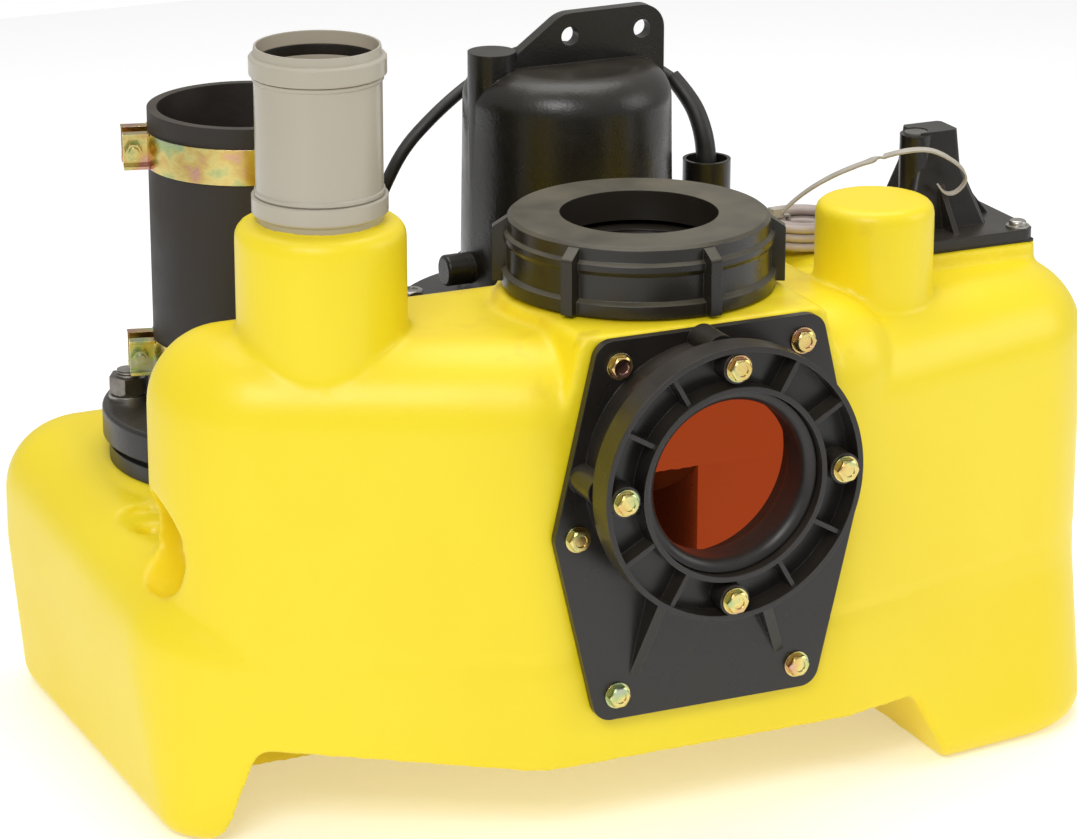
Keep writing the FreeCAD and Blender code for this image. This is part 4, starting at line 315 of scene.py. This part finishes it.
def finish_of(name, first, second, drift, rough, metal=0.0, grain=(900.0, 0.3, 120.0, 1.0), relief=0.0001,
              dust_and_sheen=0.0, dust_and_sheen_tone=(0.3, 0.28, 0.24), wear=0.0, wear_tone=(0.3, 0.3, 0.3), breadth=0.0009,
              coat=0.0, tints=None, thread=0.0, glow=None, tone_patches=()):
    """Drifting tones, a grain, settled dust with a painted top sheen and rubbed edges, with tints, a thread,
    tone patches or a painted glow if wanted.
    """
    material = bpy.data.materials.new(name)
    material.use_nodes = True
    tree = material.node_tree
    shader = tree.nodes["Principled BSDF"]
    shader.inputs["Metallic"].default_value = metal
    shader.inputs["Coat Weight"].default_value = coat
    tones = placed_group(tree, MOTTLE, First=rgba(first), Second=rgba(second), Scale=drift)
    colour = tones.outputs["Color"]
    if tints:
        colour = tinted(tree, tones.outputs["Mask"], tints)
    for tone_patch in tone_patches:
        spot = placed_group(tree, PATCH_GROUP, Centre=tone_patch[0], Reach=tone_patch[1], Amount=tone_patch[2])
        colour = mixed(tree, spot.outputs["Mask"], colour, rgba(tone_patch[3]))
    # A painted glow: emission that stands for light coming through a wall, not a lamp
    if glow:
        shader.inputs["Emission Color"].default_value = rgba(glow)
        shader.inputs["Emission Strength"].default_value = 1.0
    roughness = spread(tree, tones.outputs["Mask"], 0.0, 1.0, rough[0], rough[1])
    height = placed_group(tree, GRAIN, Fine_Scale=grain[0], Fine_Height=grain[1], Coarse_Scale=grain[2],
                          Coarse_Height=grain[3])
    edges = placed_group(tree, EDGES, Breadth=breadth, Amount=wear)
    if wear:
        colour = mixed(tree, edges.outputs["Mask"], colour, rgba(wear_tone))
    # Faces that look up turn towards the dust tone: partly settled dust, partly a painted sheen of the top
    # light
    if dust_and_sheen:
        dust_and_sheen_mask = placed_group(tree, DUST_AND_SHEEN, Amount=dust_and_sheen)
        colour = mixed(tree, dust_and_sheen_mask.outputs["Mask"], colour, rgba(dust_and_sheen_tone))
        duller = math_node(tree, "MULTIPLY", dust_and_sheen_mask.outputs["Mask"], DUST_DULLS)
        roughness = math_node(tree, "ADD", roughness, duller, clamp=True)
    bump = tree.nodes.new("ShaderNodeBump")
    bump.inputs["Distance"].default_value = relief
    bump.inputs["Strength"].default_value = 1.0
    relief_height = height.outputs["Height"]
    if thread:
        turns = placed_group(tree, THREAD, Pitch=thread)
        relief_height = math_node(tree, "ADD", relief_height, turns.outputs["Height"])
    tree.links.new(relief_height, bump.inputs["Height"])
    tree.links.new(edges.outputs["Normal"], bump.inputs["Normal"])
    tree.links.new(bump.outputs["Normal"], shader.inputs["Normal"])
    tree.links.new(colour, shader.inputs["Base Color"])
    tree.links.new(roughness, shader.inputs["Roughness"])
    return material


# Darker patches on the tank: place in metres, reach, amount, tone. The broad orange one round the cover's
# neck is painted shade
TANK_PATCHES = (
    ((-0.098, -0.195, 0.352), 0.030, 0.45, (0.20, 0.13, 0.02)),
    ((0.052, -0.195, 0.150), 0.024, 0.30, (0.30, 0.19, 0.02)),
    # Painted shade: a broad orange darkening round the cover's neck
    ((-0.012, -0.096, 0.334), 0.130, 0.30, (0.62, 0.30, 0.01)))

# Grain as fine scale, fine height, coarse scale, coarse height
METAL_GRAIN = (2200.0, 0.5, 500.0, 0.5)
RUBBER_GRAIN = (1600.0, 0.4, 300.0, 0.6)
CAST_GRAIN = (520.0, 0.7, 120.0, 1.0)

# Interference tints of yellow zinc, in the order of the film's thickness
ZINC_TINTS = (
    (0.62, 0.34, 0.27), (0.66, 0.46, 0.15), (0.72, 0.60, 0.22), (0.42, 0.52, 0.24), (0.44, 0.46, 0.38))
STUD_PITCH = 0.002


def make_finishes():
    return {
        "tank_plastic": finish_of("yellow_tank_plastic", (0.93, 0.745, 0.012), (0.91, 0.70, 0.010), 5.0,
                                  (0.34, 0.46), grain=(520.0, 0.5, 70.0, 1.0), relief=0.00014, dust_and_sheen=0.05,
                                  dust_and_sheen_tone=(0.78, 0.62, 0.16), tone_patches=TANK_PATCHES),
        "black_plastic": finish_of("black_moulded_plastic", (0.011, 0.009, 0.0075), (0.017, 0.014, 0.011),
                                   20.0, (0.24, 0.36), grain=(1400.0, 0.4, 260.0, 0.6), relief=0.00005,
                                   dust_and_sheen=0.14, dust_and_sheen_tone=(0.22, 0.18, 0.13), wear=0.35,
                                   wear_tone=(0.12, 0.11, 0.10)),
        # The cover's up-facing olive grey is mostly a painted reflection of the top light, with some dust
        "cover_plastic": finish_of("satin_cover_plastic", (0.014, 0.0115, 0.008), (0.021, 0.017, 0.012),
                                   14.0, (0.26, 0.36), grain=(1500.0, 0.5, 220.0, 0.5), relief=0.00005,
                                   dust_and_sheen=0.55, dust_and_sheen_tone=(0.20, 0.175, 0.11), wear=0.4,
                                   wear_tone=(0.14, 0.13, 0.10)),
        "seal_rubber": finish_of("black_seal_rubber", (0.010, 0.0085, 0.0075), (0.015, 0.0125, 0.011), 40.0,
                                 (0.30, 0.46), grain=RUBBER_GRAIN, relief=0.00004, dust_and_sheen=0.1),
        "hose_rubber": finish_of("hose_rubber", (0.016, 0.012, 0.009), (0.026, 0.019, 0.013), 26.0,
                                 (0.50, 0.68), grain=(900.0, 0.8, 240.0, 0.8), relief=0.00012,
                                 dust_and_sheen=0.3, dust_and_sheen_tone=(0.16, 0.13, 0.09), wear=0.3,
                                 wear_tone=(0.10, 0.085, 0.065)),
        "yellow_zinc": finish_of("yellow_zinc", (0.76, 0.62, 0.26), (0.62, 0.62, 0.34), 42.0, (0.18, 0.30),
                                 metal=1.0, grain=METAL_GRAIN, relief=0.00003, wear=0.8,
                                 wear_tone=(0.86, 0.82, 0.66), breadth=0.0005, tints=ZINC_TINTS),
        "plain_steel": finish_of("zinc_plated_steel", (0.58, 0.55, 0.50), (0.40, 0.38, 0.35), 110.0,
                                 (0.28, 0.45), metal=1.0, grain=METAL_GRAIN, relief=0.00004,
                                 wear=0.5, wear_tone=(0.75, 0.74, 0.72), breadth=0.0005),
        "brass": finish_of("turned_brass", (0.72, 0.50, 0.20), (0.62, 0.42, 0.16), 120.0, (0.25, 0.4),
                           metal=1.0),
        "grey_pvc": finish_of("warm_grey_pipe_plastic", (0.46, 0.42, 0.335), (0.475, 0.435, 0.35), 9.0,
                              (0.22, 0.28), grain=(900.0, 0.3, 160.0, 0.8), relief=0.00004),
        "black_cast": finish_of("black_painted_casting", (0.008, 0.0066, 0.0055), (0.013, 0.011, 0.009), 24.0,
                                (0.24, 0.38), grain=CAST_GRAIN, relief=0.0002, dust_and_sheen=0.16,
                                dust_and_sheen_tone=(0.2, 0.17, 0.12), wear=0.35, wear_tone=(0.12, 0.10, 0.09)),
        "steel_sheet": finish_of("laminated_steel", (0.35, 0.35, 0.35), (0.28, 0.28, 0.28), 60.0,
                                 (0.4, 0.55), metal=1.0),
        "copper_wound": finish_of("wound_copper", (0.55, 0.25, 0.12), (0.45, 0.18, 0.08), 90.0,
                                  (0.35, 0.5), metal=1.0),
        "cable_black": finish_of("black_cable_sheath", (0.014, 0.014, 0.014), (0.022, 0.021, 0.020), 60.0,
                                 (0.38, 0.52), grain=(1600.0, 0.5, 300.0, 0.6), relief=0.00005, dust_and_sheen=0.12),
        "cable_grey": finish_of("grey_cable_sheath", (0.40, 0.33, 0.30), (0.47, 0.39, 0.355), 60.0,
                                (0.38, 0.5), grain=(1500.0, 0.5, 300.0, 0.6), relief=0.00005, dust_and_sheen=0.1),
        "nylon": finish_of("natural_nylon", (0.40, 0.36, 0.30), (0.48, 0.44, 0.37), 80.0, (0.30, 0.42),
                           relief=0.00004),
        "float_plastic": finish_of("float_plastic", (0.62, 0.58, 0.46), (0.68, 0.63, 0.52), 30.0, (0.4, 0.5)),
        "plug_grey": finish_of("grey_plug", (0.11, 0.11, 0.095), (0.14, 0.14, 0.12), 60.0, (0.4, 0.5)),
        # The inside's darker orange and its glow are painted light: they stand for the light that comes
        # through the yellow wall
        "tank_inside": finish_of("tank_inside_painted_glow", (0.62, 0.22, 0.03), (0.54, 0.17, 0.02), 5.0,
                                 (0.4, 0.5), relief=0.0001, glow=(0.16, 0.036, 0.010)),
        "threaded_steel": finish_of("threaded_steel", (0.46, 0.43, 0.38), (0.30, 0.28, 0.25), 110.0,
                                    (0.3, 0.5), metal=1.0, thread=STUD_PITCH),
        "oiled_nut": finish_of("oiled_nut_steel", (0.26, 0.24, 0.21), (0.16, 0.145, 0.125), 120.0,
                               (0.28, 0.45), metal=1.0, grain=METAL_GRAIN, relief=0.00004, wear=0.6,
                               wear_tone=(0.6, 0.57, 0.5), breadth=0.0005),
    }


FINISH = make_finishes()


def wear_finish(piece, slot):
    piece.data.materials.clear()
    piece.data.materials.append(FINISH[slot])


def dress(piece, body, slot, *nodes):
    """Finish a new piece: its material, the body that carries it, its slot and the solids it stands for."""
    wear_finish(piece, slot)
    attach(piece, body)
    if nodes:
        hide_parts(*nodes)
    return piece


def dress_cad_nodes():
    """Give each CAD node the finish of its material slot, or its own where it looks different."""
    own = {"flange_studs": "threaded_steel", "flange_nuts": "oiled_nut"}
    for row in frame["record"]["subparts"]:
        piece = frame["nodes"][row["node"]]
        finish = FINISH[own.get(row["node"], row["material_slot"])]
        if piece.data.materials:
            piece.data.materials[0] = finish
        else:
            piece.data.materials.append(finish)


# Cables

def cable_curve(name, points, radius):
    """A round cable on a smooth line, from points and a radius in millimetres."""
    curve = bpy.data.curves.new(name, "CURVE")
    curve.dimensions = "3D"
    spline = curve.splines.new("NURBS")
    spline.points.add(len(points) - 1)
    for knot, at in zip(spline.points, points):
        knot.co = (at[0] * MM, at[1] * MM, at[2] * MM, 1.0)
        knot.radius = KNOT_RADIUS
    spline.order_u = 3
    spline.use_endpoint_u = True
    spline.resolution_u = 6
    curve.bevel_depth = radius * MM / KNOT_RADIUS
    curve.bevel_resolution = 5
    curve.use_fill_caps = True
    piece = bpy.data.objects.new(name, curve)
    bpy.context.scene.collection.objects.link(piece)
    return piece


def coil_points(centre, turns, start):
    """Points of a cable wound through turns of (radius, height), each running into the next near its end."""
    points = []
    follow = turns[1:] + turns[-1:]
    for number, ((radius, height), (next_radius, next_height)) in enumerate(zip(turns, follow)):
        for step in range(POINTS_PER_TURN):
            late = max(0.0, (step - 0.75 * POINTS_PER_TURN) / (0.25 * POINTS_PER_TURN))
            rise = min(1.0, 2 * late)
            shift = max(0.0, 2 * late - 1) if next_height != height else late
            angle = math.radians(start) + 2 * math.pi * step / POINTS_PER_TURN
            loose = TURN_STRAYS * math.sin(3.1 * angle + 1.7 * number)
            across = radius + (next_radius - radius) * shift + loose
            up = height + (next_height - height) * rise
            points.append((centre[0] + across * math.cos(angle), centre[1] + across * math.sin(angle), up))
    return points


def centreline(piece):
    """The line of a cable's own spline, read from it with its thickness taken off for a moment."""
    depth = piece.data.bevel_depth
    piece.data.bevel_depth = 0.0
    bpy.context.view_layer.update()
    mesh = bpy.data.meshes.new_from_object(piece.evaluated_get(bpy.context.evaluated_depsgraph_get()))
    line = [vertex.co.copy() for vertex in mesh.vertices]
    bpy.data.meshes.remove(mesh)
    piece.data.bevel_depth = depth
    return line


def line_length(line):
    return sum((b - a).length for a, b in zip(line, line[1:]))


def make_sleeve():
    """Bend sleeve over the motor cable where it leaves the gland, thinner towards its end."""
    piece = cable_curve("motor_lead_sleeve", SLEEVE_ROUTE, SLEEVE_R)
    for knot, scale in zip(piece.data.splines[0].points, SLEEVE_TAPER):
        knot.radius *= scale
    choose(piece)
    bpy.ops.object.convert(target="MESH")
    piece = bpy.context.active_object
    smooth(piece, 50)
    dress(piece, "station", "cable_black", "cable_bend_sleeve")


def make_cables():
    coil = coil_points(MOTOR_COIL_AT, MOTOR_COIL_TURNS, MOTOR_COIL_START)
    motor = cable_curve("motor_lead", MOTOR_ROUTE + coil + MOTOR_END, MOTOR_CABLE_R)
    dress(motor, "station", "cable_black", "motor_cable", "motor_cable_coil")
    length = line_length(centreline(motor))
    print("motor lead", round(length, 3))
    coil = coil_points(SENSOR_COIL_AT, SENSOR_COIL_TURNS, SENSOR_COIL_START)
    sensor = cable_curve("sensor_lead", SENSOR_ROUTE + coil, SENSOR_CABLE_R)
    dress(sensor, "station", "cable_grey", "sensor_cable", "sensor_cable_coil")
    length = line_length(centreline(sensor))
    print("sensor lead", round(length, 3))


# The tank's soft moulded skin

TANK_VOXEL = 0.0024
TANK_TRIANGLES = 190000
TANK_SMOOTHING = 0.5
TANK_SMOOTHING_STEPS = 14
# The voxel grid stands askew to the tank, so that its long edges come out straight
TANK_GRID_TURN = (0.53, 0.37, 0.29)
# Places in the tank's cavity, metres: a wall that one of them can see is a wall of the inside
CAVITY_PLACES = [Vector(place) for place in (
    (-0.02, -0.10, 0.20), (-0.20, -0.09, 0.15), (0.20, -0.09, 0.15), (0.05, 0.15, 0.09),
    (-0.20, 0.15, 0.10), (0.22, 0.12, 0.10), (0.23, -0.05, 0.27))]
# The holes in the tank's top, as the middle of each rim and its radius: a view out through one of them
# counts for nothing. They are the cover's neck, the pump's seat, the discharge, the float's hole, the vent.
TOP_HOLES = [(Vector(rim), radius) for rim, radius in (
    ((-0.012, -0.096, 0.350), 0.075), ((0.044, 0.134, 0.234), 0.105), ((-0.200, 0.113, 0.184), 0.090),
    ((0.242, -0.026, 0.321), 0.042), ((-0.223, -0.076, 0.397), 0.050))]
# How far off its wall a view starts, so that it doesn't meet the wall itself
OFF_THE_WALL = 0.0008


def turned(piece, angles):
    """Turn a piece about the origin and set the turn into its mesh."""
    piece.rotation_euler = angles
    choose(piece)
    bpy.ops.object.transform_apply(location=False, rotation=True, scale=False)


def through_hole(start, place):
    """True where the line from start to a place in the cavity goes in through a hole in the tank's top."""
    for rim, radius in TOP_HOLES:
        if start.z > rim.z > place.z:
            crossing = start.lerp(place, (start.z - rim.z) / (start.z - place.z))
            if (crossing - rim).length < radius:
                return True
    return False


def paint_inside_glow(piece):
    """Give the walls of the tank's inside their own darker orange finish with a painted glow: it stands for
    the light that comes through the wall.
    """
    piece.data.materials.append(FINISH["tank_inside"])
    for face in piece.data.polygons:
        start = face.center + face.normal * OFF_THE_WALL
        for place in CAVITY_PLACES:
            way = place - start
            if way.dot(face.normal) <= 0 or through_hole(start, place):
                continue
            if not piece.ray_cast(start, way.normalized(), distance=way.length)[0]:
                face.material_index = 1
                break


def make_tank():
    """The tank's moulded skin: the solid's mesh, remeshed evenly and relaxed until its forms run together."""
    source = frame["nodes"]["tank"]
    piece = bpy.data.objects.new("moulded_tank", source.data.copy())
    bpy.context.scene.collection.objects.link(piece)
    choose(piece)
    bpy.ops.object.mode_set(mode="EDIT")
    bpy.ops.mesh.select_all(action="SELECT")
    bpy.ops.mesh.remove_doubles(threshold=0.00002)
    bpy.ops.object.mode_set(mode="OBJECT")
    turned(piece, TANK_GRID_TURN)
    remesh = piece.modifiers.new("even_skin", "REMESH")
    remesh.mode = "VOXEL"
    remesh.voxel_size = TANK_VOXEL
    soft = piece.modifiers.new("soft_blends", "SMOOTH")
    soft.factor = TANK_SMOOTHING
    soft.iterations = TANK_SMOOTHING_STEPS
    apply_modifiers(piece)
    count = sum(len(face.vertices) - 2 for face in piece.data.polygons)
    thin = piece.modifiers.new("fewer_faces", "DECIMATE")
    thin.ratio = min(1.0, TANK_TRIANGLES / count)
    apply_modifiers(piece)
    turned(piece, Euler(TANK_GRID_TURN).to_matrix().inverted().to_euler())
    choose(piece)
    bpy.ops.object.shade_smooth()
    dress(piece, "station", "tank_plastic", "tank")
    paint_inside_glow(piece)


# Studio

FLOOR_SIZE = 3.6
FLOOR_AT = (0.1, 0.4, 0.0)
FLOOR_GLOW = 0.27
ROOM_LIGHT = 0.45
LIGHTS_AIM = (0.0, 0.0, 0.22)
# Each light's name, place, size and power
LIGHTS = (
    ("key_light", (-1.6, -2.0, 2.4), (1.6, 1.2), 44), ("top_light", (0.2, 0.5, 2.6), (2.2, 1.6), 32),
    ("right_fill", (2.4, -1.2, 1.3), (1.2, 1.4), 13))


def aimed(obj, at, target):
    obj.location = at
    obj.rotation_euler = (Vector(target) - Vector(at)).to_track_quat("-Z", "Y").to_euler()


def make_camera():
    data = bpy.data.cameras.new("camera")
    data.sensor_width = SENSOR_W
    data.lens = FOCAL_PIXELS / PHOTO_W * SENSOR_W
    camera = bpy.data.objects.new("camera", data)
    bpy.context.scene.collection.objects.link(camera)
    turn = math.radians(CAMERA_AZIMUTH)
    tilt = math.radians(CAMERA_ELEVATION)
    ahead = Vector((math.sin(turn) * math.cos(tilt), math.cos(turn) * math.cos(tilt), -math.sin(tilt)))
    aimed(camera, CAMERA_AT, Vector(CAMERA_AT) + ahead)
    bpy.context.scene.camera = camera


def soft_light(name, at, size, power):
    data = bpy.data.lights.new(name, "AREA")
    data.shape = "RECTANGLE"
    data.size, data.size_y = size
    data.energy = power
    light = bpy.data.objects.new(name, data)
    bpy.context.scene.collection.objects.link(light)
    aimed(light, at, LIGHTS_AIM)


def make_floor():
    deselect()
    bpy.ops.mesh.primitive_plane_add(size=FLOOR_SIZE, location=FLOOR_AT)
    floor = bpy.context.active_object
    floor.name = "studio_floor"
    material = bpy.data.materials.new("pale_floor")
    material.use_nodes = True
    shader = material.node_tree.nodes["Principled BSDF"]
    shader.inputs["Base Color"].default_value = (0.92, 0.92, 0.92, 1.0)
    shader.inputs["Roughness"].default_value = 0.9
    shader.inputs["Emission Color"].default_value = (1.0, 1.0, 1.0, 1.0)
    shader.inputs["Emission Strength"].default_value = FLOOR_GLOW
    floor.data.materials.append(material)


def make_room():
    """White room: the camera sees it at full strength, and the object is lit by less of it."""
    world = bpy.data.worlds.new("soft_room")
    bpy.context.scene.world = world
    world.use_nodes = True
    back = world.node_tree.nodes["Background"]
    back.inputs["Color"].default_value = (1.0, 1.0, 1.0, 1.0)
    seen = world.node_tree.nodes.new("ShaderNodeLightPath")
    level = world.node_tree.nodes.new("ShaderNodeMapRange")
    level.inputs["To Min"].default_value = ROOM_LIGHT
    level.inputs["To Max"].default_value = 1.0
    world.node_tree.links.new(seen.outputs["Is Camera Ray"], level.inputs["Value"])
    world.node_tree.links.new(level.outputs["Result"], back.inputs["Strength"])


def make_studio():
    make_floor()
    make_room()
    for light in LIGHTS:
        soft_light(*light)
    bpy.context.scene.view_settings.view_transform = "Standard"


make_camera()
make_studio()
dress_cad_nodes()
make_cables()
make_sleeve()
make_tank()
